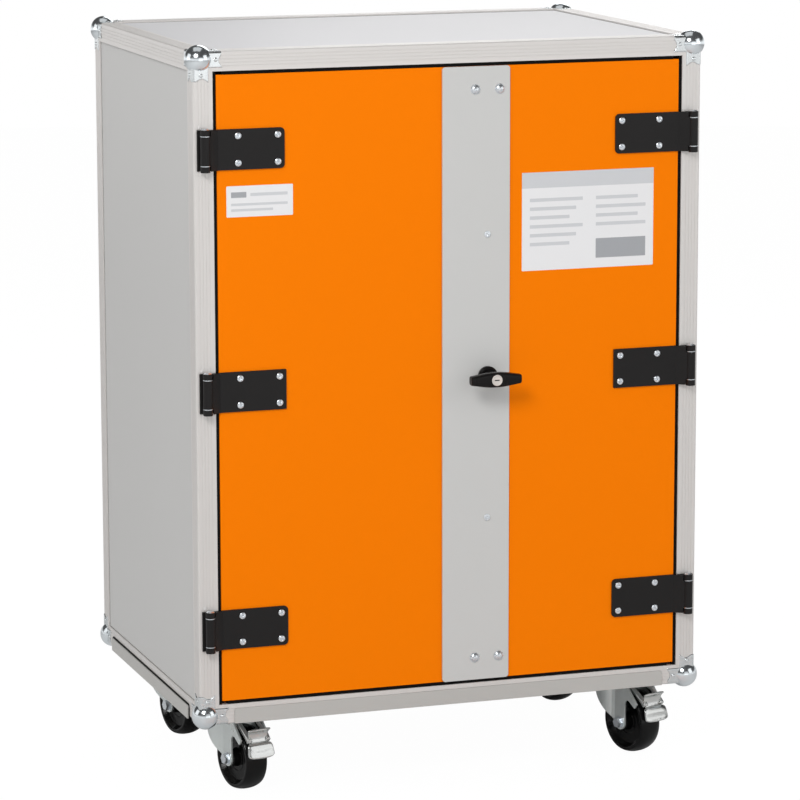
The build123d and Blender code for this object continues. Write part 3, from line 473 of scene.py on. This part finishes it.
def revolve(profile: Sequence[tuple[float, float]], around: int = 48, rounded: float = 0.0) -> Shell:
    """A surface of revolution about z: radius and height along the profile, at equal angles.

    Args:
        profile: (radius, height) pairs in metres.
        around: number of angles.
        rounded: pulls each inner profile point apart by this length, which rounds the corner.

    Returns:
        The shell.
    """
    line = soften(np.array(profile, float), rounded)
    angle = np.linspace(0, 2 * np.pi, around, endpoint=False)
    ring = np.stack([np.cos(angle), np.sin(angle)], -1)
    grid = np.concatenate([line[:, None, :1] * ring, np.repeat(line[:, None, 1:], around, 1)], -1)
    return Shell.grid(grid, closed_v=True)


def soften(line: Array, reach: float, steps: int = 4) -> Array:
    """Replaces each inner corner of a polyline by a short parabola.

    Args:
        line: n by k points.
        reach: distance from the corner at which the parabola starts, at most 0.45 of a run.
        steps: points on each parabola.

    Returns:
        The rounded polyline.
    """
    if reach <= 0 or len(line) < 3:
        return line
    out = [line[:1]]
    t = np.linspace(0, 1, steps)[:, None]
    for before, corner, after in zip(line[:-2], line[1:-1], line[2:]):
        start, end = (corner + (other - corner) * min(0.45, reach / max(1e-9, math.dist(other, corner)))
                      for other in (before, after))
        out.append((1 - t) ** 2 * start + 2 * t * (1 - t) * corner + t ** 2 * end)
    out.append(line[-1:])
    return np.concatenate(out)


def pozi_head(radius: float, height: float, rise: float = 0.55) -> Shell:
    """A pan head about z with a cross recess.

    The height falls as a power of the radius towards the rim; a cross of two bars, each fading at its sides
    and ends, is pressed into the middle.

    Args:
        radius: head radius.
        height: head height above z = 0.
        rise: share of the height that the crown takes.

    Returns:
        The shell, its rim at z = 0.
    """
    share = np.concatenate([np.linspace(0, 0.62, 16), np.linspace(0.66, 1.0, 8)])
    angle = np.linspace(0, 2 * np.pi, 48, endpoint=False)
    r = share[:, None] * radius
    x, y = r * np.cos(angle), r * np.sin(angle)
    crown = height * (1 - rise * np.repeat(share[:, None], 48, 1) ** 3.2)
    bar, reach, fade = 0.10 * radius, 0.52 * radius, 0.05 * radius

    def inside(a: Array, b: Array) -> Array:
        """Near 1 within one bar of the cross and near 0 beside it, with logistic sides."""
        return 1 / (1 + np.exp((np.abs(a) - bar) / (0.35 * fade))) / (1 + np.exp((np.abs(b) - reach) / fade))

    pressed = np.clip(inside(x, y) + inside(y, x), 0, 1)
    top = np.stack([x, y, crown - 0.7 * height * pressed], -1)
    rim = np.stack([radius * np.cos(angle), radius * np.sin(angle), np.zeros(48)], -1)[None]
    return Shell.grid(np.concatenate([top, rim]), closed_v=True)


def strap(middle: Array, widths: Array, depths: Array, around: int = 20, power: float = 4.0,
          dish: float = 0.0) -> Shell:
    """A bent bar of rounded oblong section that lies in the x-z plane and is wide along y.

    Each section is a superellipse across the centreline, so that its corners are rounded.

    Args:
        middle: n by 2 centreline points (x, z).
        widths: width along y at each point.
        depths: thickness across the centreline at each point.
        around: points round the section.
        power: how square the section is.
        dish: how far the middle of the front lies inside its rim.

    Returns:
        The closed shell, its ends drawn together.
    """
    run = np.gradient(middle, axis=0)
    run /= np.linalg.norm(run, axis=1)[:, None]
    angle = np.linspace(0, 2 * np.pi, around, endpoint=False)
    c, s = np.cos(angle), np.sin(angle)
    across, out = (np.sign(v) * np.abs(v) ** (2 / power) for v in (c, s))
    share = np.linspace(-1, 1, len(middle))[:, None]
    rim = np.clip((0.80 - np.abs(across)) / 0.12, 0, 1) * np.clip((0.74 - np.abs(share)) / 0.2, 0, 1)
    pressed = dish * rim * (out < 0)
    grid = np.empty((len(middle), around, 3))
    reach = out * depths[:, None] / 2 + pressed
    grid[..., 0] = middle[:, :1] - run[:, 1:] * reach
    grid[..., 1] = across * widths[:, None] / 2
    grid[..., 2] = middle[:, 1:] + run[:, :1] * reach
    shell = Shell.grid(grid, closed_v=True)
    last = (len(middle) - 1) * around
    shell.faces.append(tuple(range(around - 1, -1, -1)))
    shell.faces.append(tuple(range(last, last + around)))
    return shell


def even(line: Array, count: int) -> Array:
    """The same polyline with points at equal distances."""
    along = np.concatenate([[0.0], np.cumsum(np.linalg.norm(np.diff(line, axis=0), axis=1))])
    want = np.linspace(0, along[-1], count)
    return np.stack([np.interp(want, along, line[:, k]) for k in range(line.shape[1])], -1)


def islands(node: bpy.types.Object) -> list[tuple[Array, Array]]:
    """Boxes of the separate solids in a node.

    Args:
        node: a CAD node with its place in its mesh.

    Returns:
        Lowest and highest corner of each solid, sorted by place.
    """
    mesh = node.data
    points = np.empty(len(mesh.vertices) * 3)
    mesh.vertices.foreach_get("co", points)
    points = points.reshape(-1, 3)
    _, same = np.unique(np.round(points, 6), axis=0, return_inverse=True)
    same = same.ravel()
    edges = np.empty(len(mesh.edges) * 2, int)
    mesh.edges.foreach_get("vertices", edges)
    edges = same[edges.reshape(-1, 2)]
    label = np.arange(same.max() + 1)
    while True:
        low = np.minimum(label[edges[:, 0]], label[edges[:, 1]])
        new = label.copy()
        np.minimum.at(new, edges[:, 0], low)
        np.minimum.at(new, edges[:, 1], low)
        new = new[new]
        if (new == label).all():
            break
        label = new
    group = label[same]
    boxes = [(points[group == g].min(0), points[group == g].max(0)) for g in np.unique(group)]
    return sorted(boxes, key=lambda b: tuple(np.round(b[0], 4)))


# --- fasteners ----------------------------------------------------------------------------------
FRONTWARDS = ((1, 0, 0), (0, 0, 1), (0, -1, 0))


@dataclass
class Fasteners:
    """Screw and bolt heads that face the front, on the places of the CAD solids."""

    nodes: dict[str, bpy.types.Object]
    screw_r: float = 5.0 * MM
    screw_h: float = 2.2 * MM
    flat_r: float = 5.0 * MM
    flat_h: float = 1.2 * MM
    bolt_r: float = 7.8 * MM
    bolt_h: float = 4.4 * MM

    def build(self) -> None:
        """Replaces leaf screws, strip screws and strip bolts."""
        for side in ("left", "right"):
            self._set(f"{side}_leaf_screws", pozi_head(self.screw_r, self.screw_h), f"{side}_door")
        self._set("strip_screws", pozi_head(self.flat_r, self.flat_h, 0.35), "right_door")
        t = np.linspace(0, np.pi / 2, 14)
        ball = (self.bolt_r ** 2 + self.bolt_h ** 2) / (2 * self.bolt_h)
        reach = math.asin(self.bolt_r / ball)
        dome = [(ball * math.sin(a), self.bolt_h - ball * (1 - math.cos(a))) for a in t / (np.pi / 2) * reach]
        self._heads_over("strip_bolts", revolve(dome, 40), "right_door")

    def _set(self, node: str, head: Shell, body: str) -> None:
        """Puts one head on each solid of a node and takes the node's place."""
        heads = []
        for k, (low, high) in enumerate(islands(self.nodes[node])):
            middle = (low + high) / 2
            turn = math.radians(17 + 41 * k)
            x = (math.cos(turn), 0, math.sin(turn))
            z_axis = (0, -1, 0)
            y = (-math.sin(turn), 0, math.cos(turn))
            depth = head.points[:, 2].max()
            heads.append(head.at((middle[0], low[1] + depth, middle[2]), x, y, z_axis))
        piece = Shell.join(heads).piece(f"{node}_heads", SCREW_ZINC)
        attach(piece, body)
        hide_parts(node)

    def _heads_over(self, node: str, head: Shell, body: str) -> None:
        """Smooth heads that lie on the node's own, whose shanks and nuts stay."""
        heads = []
        for low, high in islands(self.nodes[node]):
            middle = (low + high) / 2
            heads.append(head.at((middle[0], low[1] + self.bolt_h, middle[2]), *FRONTWARDS))
        piece = Shell.join(heads).piece(f"{node}_domes", SCREW_ZINC)
        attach(piece, body)


# --- painted seam shade -------------------------------------------------------------------------
@dataclass
class PaintedSeamShade:
    """Painted shade: dark lines that stand in for the shadow in the gaps where the case panels meet the lips
    of the edge profiles.
    """

    nodes: dict[str, bpy.types.Object]
    width: float = 0.9 * MM
    height: float = 0.25 * MM

    def build(self) -> None:
        """One thin ring of painted shade in the corner round each panel that can be seen."""
        front, rear = islands(self.nodes["front_uprights"]), islands(self.nodes["rear_uprights"])
        _, high_front = islands(self.nodes["front_rails"])
        low_rear, high_rear = islands(self.nodes["rear_rails"])
        sides = islands(self.nodes["side_rails"])
        y0, y1 = front[0][1][1], rear[0][0][1]
        x0, x1 = rear[0][1][0], rear[1][0][0]
        z0, z1 = sides[0][1][2], sides[1][0][2]
        rings = [
            self._ring(0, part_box("left_panel")[0][0], -1, (y0, z0), (y1, z1)),
            self._ring(0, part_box("right_panel")[1][0], 1, (y0, z0), (y1, z1)),
            self._ring(1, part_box("back_panel")[1][1], 1, (x0, low_rear[1][2]), (x1, high_rear[0][2])),
            self._ring(2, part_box("top_panel")[1][2], 1, (sides[1][1][0], high_front[1][1]),
                       (sides[3][0][0], high_rear[0][1])),
        ]
        # the rings carry the dark painted shade of the panel gaps
        piece = Shell.join(rings).piece("panel_joints", SEAM_SHADE_PAINT)
        piece.data.polygons.foreach_set("use_smooth", np.zeros(len(piece.data.polygons), bool))
        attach(piece, "cabinet")

    def _ring(self, axis: int, face: float, way: int, low: tuple[float, float],
              high: tuple[float, float]) -> Shell:
        """A rectangle's border with an oblong section: four corners by four section points.

        Args:
            axis: axis across the panel, 0 to 2.
            face: the panel's outer face on that axis.
            way: 1 where the panel looks along the axis, -1 where it looks against it.
            low: lower corner of the visible field on the other two axes.
            high: upper corner.

        Returns:
            The ring.
        """
        inset = np.array([0.0, 0.0, self.width, self.width])
        rise = np.array([-self.height, self.height, self.height, -self.height]) * way
        corner = np.array([(0, 0), (1, 0), (1, 1), (0, 1)])
        side = np.where(corner[:, None] == 0, np.asarray(low) + inset[:, None],
                        np.asarray(high) - inset[:, None])
        grid = np.empty((4, 4, 3))
        others = [k for k in range(3) if k != axis]
        grid[..., others] = side
        grid[..., axis] = face + rise
        turned = way * (-1 if axis == 1 else 1)
        return Shell.grid(grid if turned > 0 else grid[::-1], closed_u=True, closed_v=True)


# --- ball corners -------------------------------------------------------------------------------
@dataclass
class BallCorners:
    """Eight ball corners: a hollow ball and three legs wrapped round the edges, with domed rivets."""

    low: Array
    high: Array
    ball_r: float = 20.6 * MM
    inset: float = 11.5 * MM
    leg: float = 45.0 * MM
    width: float = 24.0 * MM
    notch: float = 4.5 * MM
    thick: float = 1.2 * MM
    bend: float = 3.6 * MM
    ridge: float = 1.0 * MM
    skirt: float = 0.9 * MM
    clear: float = 0.02 * MM
    rivet_r: float = 3.2 * MM
    rivet_h: float = 1.3 * MM

    def build(self) -> None:
        """Makes balls and legs as two pieces that stand for the CAD nodes."""
        ball, legs = self._ball(), self._legs()
        balls, arms = [], []
        for sx in (0, 1):
            for sy in (0, 1):
                for sz in (0, 1):
                    pick = np.array([sx, sy, sz])
                    origin = np.where(pick, self.high, self.low)
                    axes = np.diag(1 - 2 * pick)
                    balls.append(ball.at(origin, *axes))
                    arms.append(legs.at(origin, *axes))
        pieces = (Shell.join(balls).piece("corner_balls", BALL_ZINC),
                  Shell.join(arms).piece("corner_legs", LEG_ZINC))
        for piece in pieces:
            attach(piece, "cabinet")
        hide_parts("ball_corners")
        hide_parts("corner_rivets")

    def _ball(self) -> Shell:
        """The part of the sphere outside the case: where the three coordinates aren't all inside it."""
        lat = np.linspace(0, np.pi, 49)
        lon = np.linspace(0, 2 * np.pi, 96, endpoint=False)
        grid = np.stack([np.sin(lat)[:, None] * np.cos(lon), np.sin(lat)[:, None] * np.sin(lon),
                         np.repeat(np.cos(lat)[:, None], 96, 1)], -1) * self.ball_r + self.inset
        shell = Shell.grid(grid, closed_v=True)
        inside = (shell.points > 0.5 * MM).all(1)
        return Shell(shell.points, [f[::-1] for f in shell.faces if not all(inside[i] for i in f)])

    def _legs(self) -> Shell:
        """Three legs along x, y and z, made from one by exchanging the axes, and their rivets."""
        arm = self._arm()
        rivet = self._rivet()
        along, across = self.leg * 0.77, self.width / 2
        places = ((along, across, -self.thick), (-self.thick, across, along), (across, -self.thick, along))
        axes = (((1, 0, 0), (0, -1, 0), (0, 0, -1)), ((0, 0, 1), (0, -1, 0), (-1, 0, 0)),
                ((0, 0, 1), (1, 0, 0), (0, -1, 0)))
        extra = (((along, -self.thick, across), axes[2]), ((across, along, -self.thick), axes[0]),
                 ((-self.thick, along, across), axes[1]))
        rivets = [rivet.at(p, *a) for p, a in zip(places, axes)] + [rivet.at(p, *a) for p, a in extra]
        return Shell.join([arm, arm.at((0, 0, 0), (0, 1, 0), (0, 0, 1), (1, 0, 0)),
                           arm.at((0, 0, 0), (0, 0, 1), (1, 0, 0), (0, 1, 0)), *rivets])

    def _arm(self) -> Shell:
        """A leg along x: across it runs from one face round the edge to the other.

        Its end is a fishtail on each face, a parabola cut into the end line, and the sheet's skin
        drops to the profile along the free borders.
        """
        run = np.linspace(self.bend, self.width, 22)
        across = np.concatenate([-run[::-1], np.linspace(-self.bend, self.bend, 13)[1:-1], run])
        share = np.concatenate([np.linspace(0, 0.86, 14), np.linspace(0.88, 1.0, 10)])
        flat = np.clip((np.abs(across) - self.bend) / (self.width - self.bend), 0, 1)
        end = self.leg - self.notch * np.sin(np.pi * flat) ** 1.5 - self.ridge * (1 - flat)
        x = share[:, None] * end
        near = np.minimum((self.width - np.abs(across))[None], end[None] - x)
        lift = self.thick * np.clip(near / self.skirt, 0, 1) ** 0.5 * 0.98 + self.clear
        turn = np.clip(across / self.bend, -1, 1) * np.pi / 4 + np.pi / 4
        beyond = self.bend + np.maximum(np.abs(across) - self.bend, 0)
        # y and z: straight parts on the two faces, a quarter circle between them
        y = np.where(across >= self.bend, beyond, self.bend * (1 - np.cos(turn)))
        z = np.where(across <= -self.bend, beyond, self.bend * (1 - np.sin(turn)))
        y = np.where(across <= -self.bend, 0.0, y)
        z = np.where(across >= self.bend, 0.0, z)
        return Shell.grid(np.stack([x, y[None] - np.cos(turn)[None] * lift,
                                    z[None] - np.sin(turn)[None] * lift], -1))

    def _rivet(self) -> Shell:
        """A low dome: a quarter ellipse turned about z."""
        t = np.linspace(0, np.pi / 2, 9)
        return revolve([(self.rivet_r * math.sin(a), self.rivet_h * math.cos(a)) for a in t], 28)


# --- castors ------------------------------------------------------------------------------------
@dataclass
class Castor:
    """Wheel and brake pedal of one castor, in its own axes: u forwards, v sideways, z up.

    The pedal's bars follow centrelines of (forwards, up) points in millimetres from its pivot.
    """

    name: str
    wheel_box: tuple[Array, Array]
    roll_axis: Array
    wheel_r: float = 50.0 * MM
    wheel_w: float = 36.0 * MM
    hub_half: float = 22.2 * MM
    bore: float = 5.1 * MM
    hub_r: float = 13.0 * MM
    web_ring_r: float = 21.0 * MM
    rim_wall: float = 9.0 * MM
    web_depth: float = 9.0 * MM
    crown: float = 4.0 * MM
    wheel_round: float = 0.7 * MM
    tab_line: tuple[tuple[float, float], ...] = ((47.5, -26.5), (43.5, -20), (43, -10), (46, -5), (50, -2.6))
    tab_w: tuple[float, float, float] = (30.0, 4.0, 12.0)
    tab_t: float = 3.6 * MM
    foot_line: tuple[tuple[float, float], ...] = ((45.5, -23.5), (51, -28), (54.8, -43), (57.4, -46.4))
    foot_w: tuple[float, float] = (39.0, 6.0)
    foot_t: float = 4.2 * MM
    foot_dish: float = 0.9 * MM
    rail_line: tuple[tuple[float, float], ...] = ((0, 0), (9, 1.6), (27, -8.2), (40, -16), (46.5, -22))
    rail_w: float = 7.5 * MM
    rail_t: tuple[float, float] = (6.0, 8.4)
    rail_out: float = 15.8 * MM
    bridge_line: tuple[tuple[float, float], ...] = ((2.5, 1.2), (9, 2))
    bridge_w: float = 30.0 * MM
    bridge_t: float = 3.0 * MM
    pin_r: float = 2.95 * MM
    pin_half: float = 26.9 * MM
    pin_chamfer: float = 0.5 * MM

    def _axes(self) -> tuple[Array, Array, Array]:
        """Forward, sideways and upward directions of the turned castor."""
        side = self.roll_axis / np.linalg.norm(self.roll_axis)
        up = np.array([0.0, 0.0, 1.0])
        return np.cross(side, up), side, up

    def wheel(self) -> None:
        """A turned wheel: crowned tread with a fine parting line, stepped rims, dished webs and a hub."""
        half, rim, hub, ring = self.wheel_w / 2, self.wheel_r - self.rim_wall, self.hub_r, self.web_ring_r
        web = half - self.web_depth
        right = [(self.bore, self.hub_half), (hub - 1.2 * MM, self.hub_half), (hub, self.hub_half - 1.5 * MM),
                 (hub + 1.5 * MM, web), (ring - 1 * MM, web), (ring, web + 0.8 * MM), (ring + 1 * MM, web),
                 (rim - 5.5 * MM, web), (rim - 1 * MM, half - 2.0 * MM), (rim, half - 0.3 * MM),
                 (rim + 1.2 * MM, half), (self.wheel_r - self.crown - 0.2 * MM, half)]
        t = np.linspace(1, -1, 25)[1:-1]
        sag = self.crown * np.abs(t) ** 2.4
        tread = [(self.wheel_r - d, v * half) for d, v in zip(sag, t)]
        left = [(r, -h) for r, h in reversed(right)]
        shell = revolve(right + tread + left, 96, self.wheel_round)
        low, high = self.wheel_box
        forward, side, _ = self._axes()
        piece = shell.at((low + high) / 2, forward, np.cross(side, forward), side).piece(f"{self.name}_wheel_turned", WHEEL_BLACK)
        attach(piece, f"{self.name}_roller")
        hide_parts(f"{self.name}_wheel")

    def pedal(self, pivot: Array) -> None:
        """A cast brake pedal: two arms from the pivot, a waisted upper tab and a foot plate with a rim.

        Args:
            pivot: point on the pedal's pivot axis in the castor's middle plane.
        """
        parts = [self._tab(), self._foot(), self._bridge(), self._pin(), self._rail(-1), self._rail(1)]
        shell = Shell.join(parts).at(pivot, *self._axes())
        piece = shell.piece(f"{self.name}_pedal_cast", PEDAL_NICKEL)
        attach(piece, f"{self.name}_brake")
        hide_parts(f"{self.name}_pedal")

    def _line(self, points: Sequence[tuple[float, float]], rounded: float, count: int) -> Array:
        """A centreline with rounded corners and evenly spaced points."""
        return even(soften(np.array(points) * MM, rounded), count)

    def _tab(self, count: int = 30) -> Shell:
        """The upper tab: its width grows with powers of the way along it, its ends drop as a superellipse."""
        share = np.linspace(0, 1, count)
        base, root, tip = self.tab_w
        flare = (base + root * (1 - share) ** 3 + tip * share ** 2.2) * MM
        ends = np.sqrt(np.clip(1 - np.abs(2 * share - 1) ** 16, 0.02, 1))
        return strap(self._line(self.tab_line, 4 * MM, count), flare * ends,
                     self.tab_t * np.clip(ends * 1.2, 0.2, 1), 28)

    def _foot(self, count: int = 32) -> Shell:
        """The foot plate: its width grows as a sine, its ends drop as a superellipse, its front is dished."""
        share = np.linspace(0, 1, count)
        base, more = self.foot_w
        width = (base + more * np.sin(np.pi * np.clip(share * 1.2, 0, 1) / 2)) * MM
        ends = np.sqrt(np.clip(1 - np.abs(2 * share - 1) ** 7, 0.03, 1))
        return strap(self._line(self.foot_line, 5 * MM, count), width * ends,
                     self.foot_t * np.clip(ends * 1.2, 0.2, 1), 64, 5.0, self.foot_dish)

    def _rail(self, way: int, count: int = 24) -> Shell:
        """One arm, from the pivot to between tab and foot, on the side given by way."""
        arm = strap(self._line(self.rail_line, 5 * MM, count), np.full(count, self.rail_w),
                    np.linspace(*self.rail_t, count) * MM, 14)
        arm.points[:, 1] += way * self.rail_out
        return arm

    def _bridge(self, count: int = 8) -> Shell:
        """The plate that joins the arms beside the pivot."""
        return strap(self._line(self.bridge_line, 0, count), np.full(count, self.bridge_w),
                     np.full(count, self.bridge_t))

    def _pin(self) -> Shell:
        """The pivot pin with chamfered ends, across the castor."""
        small, inner = self.pin_r - 0.55 * MM, self.pin_half - self.pin_chamfer
        line = [(0, -self.pin_half), (small, -self.pin_half), (self.pin_r, -inner), (self.pin_r, inner),
                (small, self.pin_half), (0, self.pin_half)]
        return revolve(line, 24).at((0, 0, 0), (1, 0, 0), (0, 0, 1), (0, -1, 0))


# --- handle -------------------------------------------------------------------------------------
@dataclass
class Handle:
    """T-handle with its key cylinder, built about the lock axis in front of the cover strip."""

    axis: Array
    front: float
    strip: float
    length: float = 80.0 * MM
    middle: float = 23.0 * MM
    tip: float = 13.5 * MM
    depth: float = 14.0 * MM
    neck_r: float = 8.9 * MM
    end_round: float = 1.8 * MM
    squareness: float = 4.5
    proud: float = 1.0 * MM
    plug_r: float = 8.4 * MM
    plug_face_r: float = 6.2 * MM
    plug_sunk: float = 0.75 * MM
    slot_w: float = 7.2 * MM
    slot_h: float = 1.2 * MM
    slot_depth: float = 2.0 * MM

    def build(self) -> None:
        """Makes grip with neck, and the key cylinder, in place of their CAD nodes."""
        grip = Shell.join([self._grip(), self._neck()]).piece("handle_grip", HANDLE_BLACK)
        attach(grip, "lock_handle")
        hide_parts("handle")
        plug = self._plug().piece("key_cylinder_face", KEY_METAL)
        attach(plug, "key_cylinder")
        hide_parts("key_plug")

    def _grip(self, stations: int = 61, around: int = 40) -> Shell:
        """A bar along x whose section is a superellipse.

        Half the section's height falls from the middle to the tips as a power of a cosine. Near each end
        both halves shrink along a quarter circle, which rounds the end's edge, and a flat face closes it.

        Args:
            stations: sections along the bar.
            around: points round each section.

        Returns:
            The closed shell.
        """
        half, mid, tip, edge = self.length / 2, self.middle / 2, self.tip / 2, self.end_round
        x = -half * np.cos(np.linspace(0, np.pi, stations))
        bow = tip + (mid - tip) * np.cos(np.pi / 2 * np.abs(x) / half) ** 1.15
        near = np.clip((half - np.abs(x)) / edge, 0, 1)
        drawn = edge * (1 - np.sqrt(1 - (1 - near) ** 2))
        angle = np.linspace(0, 2 * np.pi, around, endpoint=False)
        c, s = (np.sign(v) * np.abs(v) ** (2 / self.squareness) for v in (np.cos(angle), np.sin(angle)))
        grid = np.empty((stations, around, 3))
        grid[..., 0] = self.axis[0] + x[:, None]
        grid[..., 1] = self.front + self.proud + self.depth / 2 + c * (self.depth / 2 - drawn)[:, None]
        grid[..., 2] = self.axis[2] + s * (bow - drawn)[:, None]
        shell = Shell.grid(grid, closed_v=True)
        last = (stations - 1) * around
        shell.faces += [tuple(range(around - 1, -1, -1)), tuple(range(last, last + around))]
        return shell

    def _neck(self) -> Shell:
        """A waisted neck from the grip's back to the rose on the strip."""
        back = self.front + 0.9 * self.depth
        line = [(self.middle * 0.47, 0.0), (self.neck_r + 1.2 * MM, 4 * MM), (self.neck_r, 10 * MM),
                (self.neck_r, self.strip - back - 0.4 * MM)]
        origin = (self.axis[0], back, self.axis[2])
        return revolve(line, 40, 2.5 * MM).at(origin, (1, 0, 0), (0, 0, -1), (0, 1, 0))

    def _plug(self) -> Shell:
        """A turned face with a rounded rim, a sunk centre and a key slot with logistic sides."""
        rim, face = self.plug_r, self.plug_face_r
        share = np.linspace(0, 1, 34)
        angle = np.linspace(0, 2 * np.pi, 64, endpoint=False)
        r = share[:, None] * rim
        x, y = r * np.cos(angle), r * np.sin(angle)
        ring = np.clip((r - face) / (rim - face), 0, 1)
        height = self.plug_sunk * (np.sin(np.pi * np.clip(ring, 0, 0.999)) ** 0.6 - 1) + 0 * x
        along = 1 / (1 + np.exp((np.abs(x) - self.slot_w / 2) / (0.12 * MM)))
        across = 1 / (1 + np.exp((np.abs(y) - self.slot_h / 2) / (0.10 * MM)))
        height -= self.slot_depth * along * across
        top = np.stack([x, y, height], -1)
        foot = -self.proud
        side = np.stack([rim * np.cos(angle), rim * np.sin(angle), np.full(64, foot)], -1)[None]
        shell = Shell.grid(np.concatenate([top, side]), closed_v=True)
        return shell.at((self.axis[0], self.front, self.axis[2]), *FRONTWARDS)


# --- labels -------------------------------------------------------------------------------------
@dataclass
class Label:
    """A plain sticker on a door: a white card and flat patches in a layout of its own."""

    name: str
    body: str
    low: tuple[float, float]
    high: tuple[float, float]
    face: float
    patches: list[tuple[float, float, float, float, Finish]]
    corner: float = 1.5 * MM

    def build(self) -> None:
        """Makes card and patches, each a rounded sheet in front of the one before."""
        self._sheet(self.name, self.low, self.high, 0.10 * MM, LABEL_WHITE, self.corner)
        size = np.subtract(self.high, self.low)
        for k, (x0, z0, x1, z1, finish) in enumerate(self.patches):
            low = np.add(self.low, size * (x0, z0))
            high = np.add(self.low, size * (x1, z1))
            self._sheet(f"{self.name}_patch_{k + 1}", low, high, 0.16 * MM, finish, 0.6 * MM)

    def _sheet(self, name: str, low: Sequence[float], high: Sequence[float], lift: float, finish: Finish,
               corner: float) -> None:
        """One sheet: a rectangle with quarter-circle corners, joined to the door by a thin edge."""
        t = np.linspace(0, np.pi / 2, 6)
        ring = []
        right, top, left, foot = high[0] - corner, high[1] - corner, low[0] + corner, low[1] + corner
        for k, (x, z) in enumerate(((right, top), (left, top), (left, foot), (right, foot))):
            a = t + k * np.pi / 2
            ring.append(np.stack([x + corner * np.cos(a), z + corner * np.sin(a)], -1))
        ring = np.concatenate(ring)
        n = len(ring)
        front = np.stack([ring[:, 0], np.full(n, self.face - lift), ring[:, 1]], -1)
        back = front + (0, lift, 0)
        faces = [tuple(range(n))] + [(i, i + n, (i + 1) % n + n, (i + 1) % n) for i in range(n)]
        piece = mesh_piece(name, np.concatenate([front, back]), faces, smooth=False)
        piece.data.materials.append(finish.material())
        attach(piece, self.body)


def dress(node: bpy.types.Object, finish: Finish) -> None:
    """Gives an object one finish on all its faces."""
    node.data.materials.clear()
    node.data.materials.append(finish.material())


def main() -> None:
    """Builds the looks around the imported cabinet."""
    logging.basicConfig(level=logging.INFO)
    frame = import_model()
    nodes = frame["nodes"]
    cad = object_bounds()
    bpy.context.scene.view_settings.view_transform = "Standard"
    for finish, names in NODE_FINISH.items():
        for name in names:
            dress(nodes[name], finish)
    for name, node in nodes.items():
        for ending, finish in CASTOR_FINISH.items():
            if name.endswith(ending):
                dress(node, finish)
    low = np.array(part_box("front_uprights")[0])
    high = np.array(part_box("rear_uprights")[1])
    BallCorners(low, high).build()
    Fasteners(nodes).build()
    # dark rings of painted shade in the gaps round the panels
    PaintedSeamShade(nodes).build()
    joints = {j["name"]: j for j in frame["joints"]}
    for name in ("front_left", "front_right", "rear_left", "rear_right"):
        box = tuple(np.array(corner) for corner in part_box(f"{name}_wheel"))
        castor = Castor(name, box, np.array(joints[f"{name}_roll"]["axis"]))
        castor.wheel()
        if f"{name}_pedal" in nodes:
            castor.pedal(np.array(joints[f"{name}_brake_press"]["pos_m"]))
    handle = joints["handle_turn"]["pos_m"]
    Handle(np.array(handle), float(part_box("handle")[0][1]), float(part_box("cover_strip")[0][1])).build()
    for label in door_labels(low):
        label.build()
    Studio().build(Vector(cad[0] + cad[1]) / 2)
    LOG.info("looks built")


def door_labels(low: Array) -> list[Label]:
    """The two stickers, measured from the case's left lower front corner.

    Args:
        low: that corner.

    Returns:
        The labels.
    """
    x0, z0 = float(low[0]), float(low[2])
    left = float(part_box("left_door_panel")[0][1])
    right = float(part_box("right_door_panel")[0][1])
    small = [(0.07, 0.62, 0.30, 0.80, LABEL_GREY), (0.36, 0.66, 0.92, 0.76, LABEL_PALE),
             (0.07, 0.36, 0.92, 0.44, LABEL_PALE), (0.07, 0.18, 0.70, 0.26, LABEL_PALE)]
    large = [(0.0, 0.84, 1.0, 1.0, LABEL_PALE)]
    large += [(0.06, 0.70 - 0.09 * k, 0.46 - 0.05 * (k % 3), 0.735 - 0.09 * k, LABEL_PALE) for k in range(6)]
    large += [(0.56, 0.70 - 0.09 * k, 0.94 - 0.06 * ((k + 1) % 2), 0.735 - 0.09 * k, LABEL_PALE)
              for k in range(4)]
    large += [(0.56, 0.10, 0.94, 0.30, LABEL_GREY)]
    small_place = (x0 + 0.0495, z0 + 0.764), (x0 + 0.1515, z0 + 0.810)
    large_place = (x0 + 0.5116, z0 + 0.6616), (x0 + 0.725, z0 + 0.8107)
    return [Label("left_label", "left_door", *small_place, left, small),
            Label("right_label", "right_door", *large_place, right, large)]


if __name__ == "__main__":
    main()
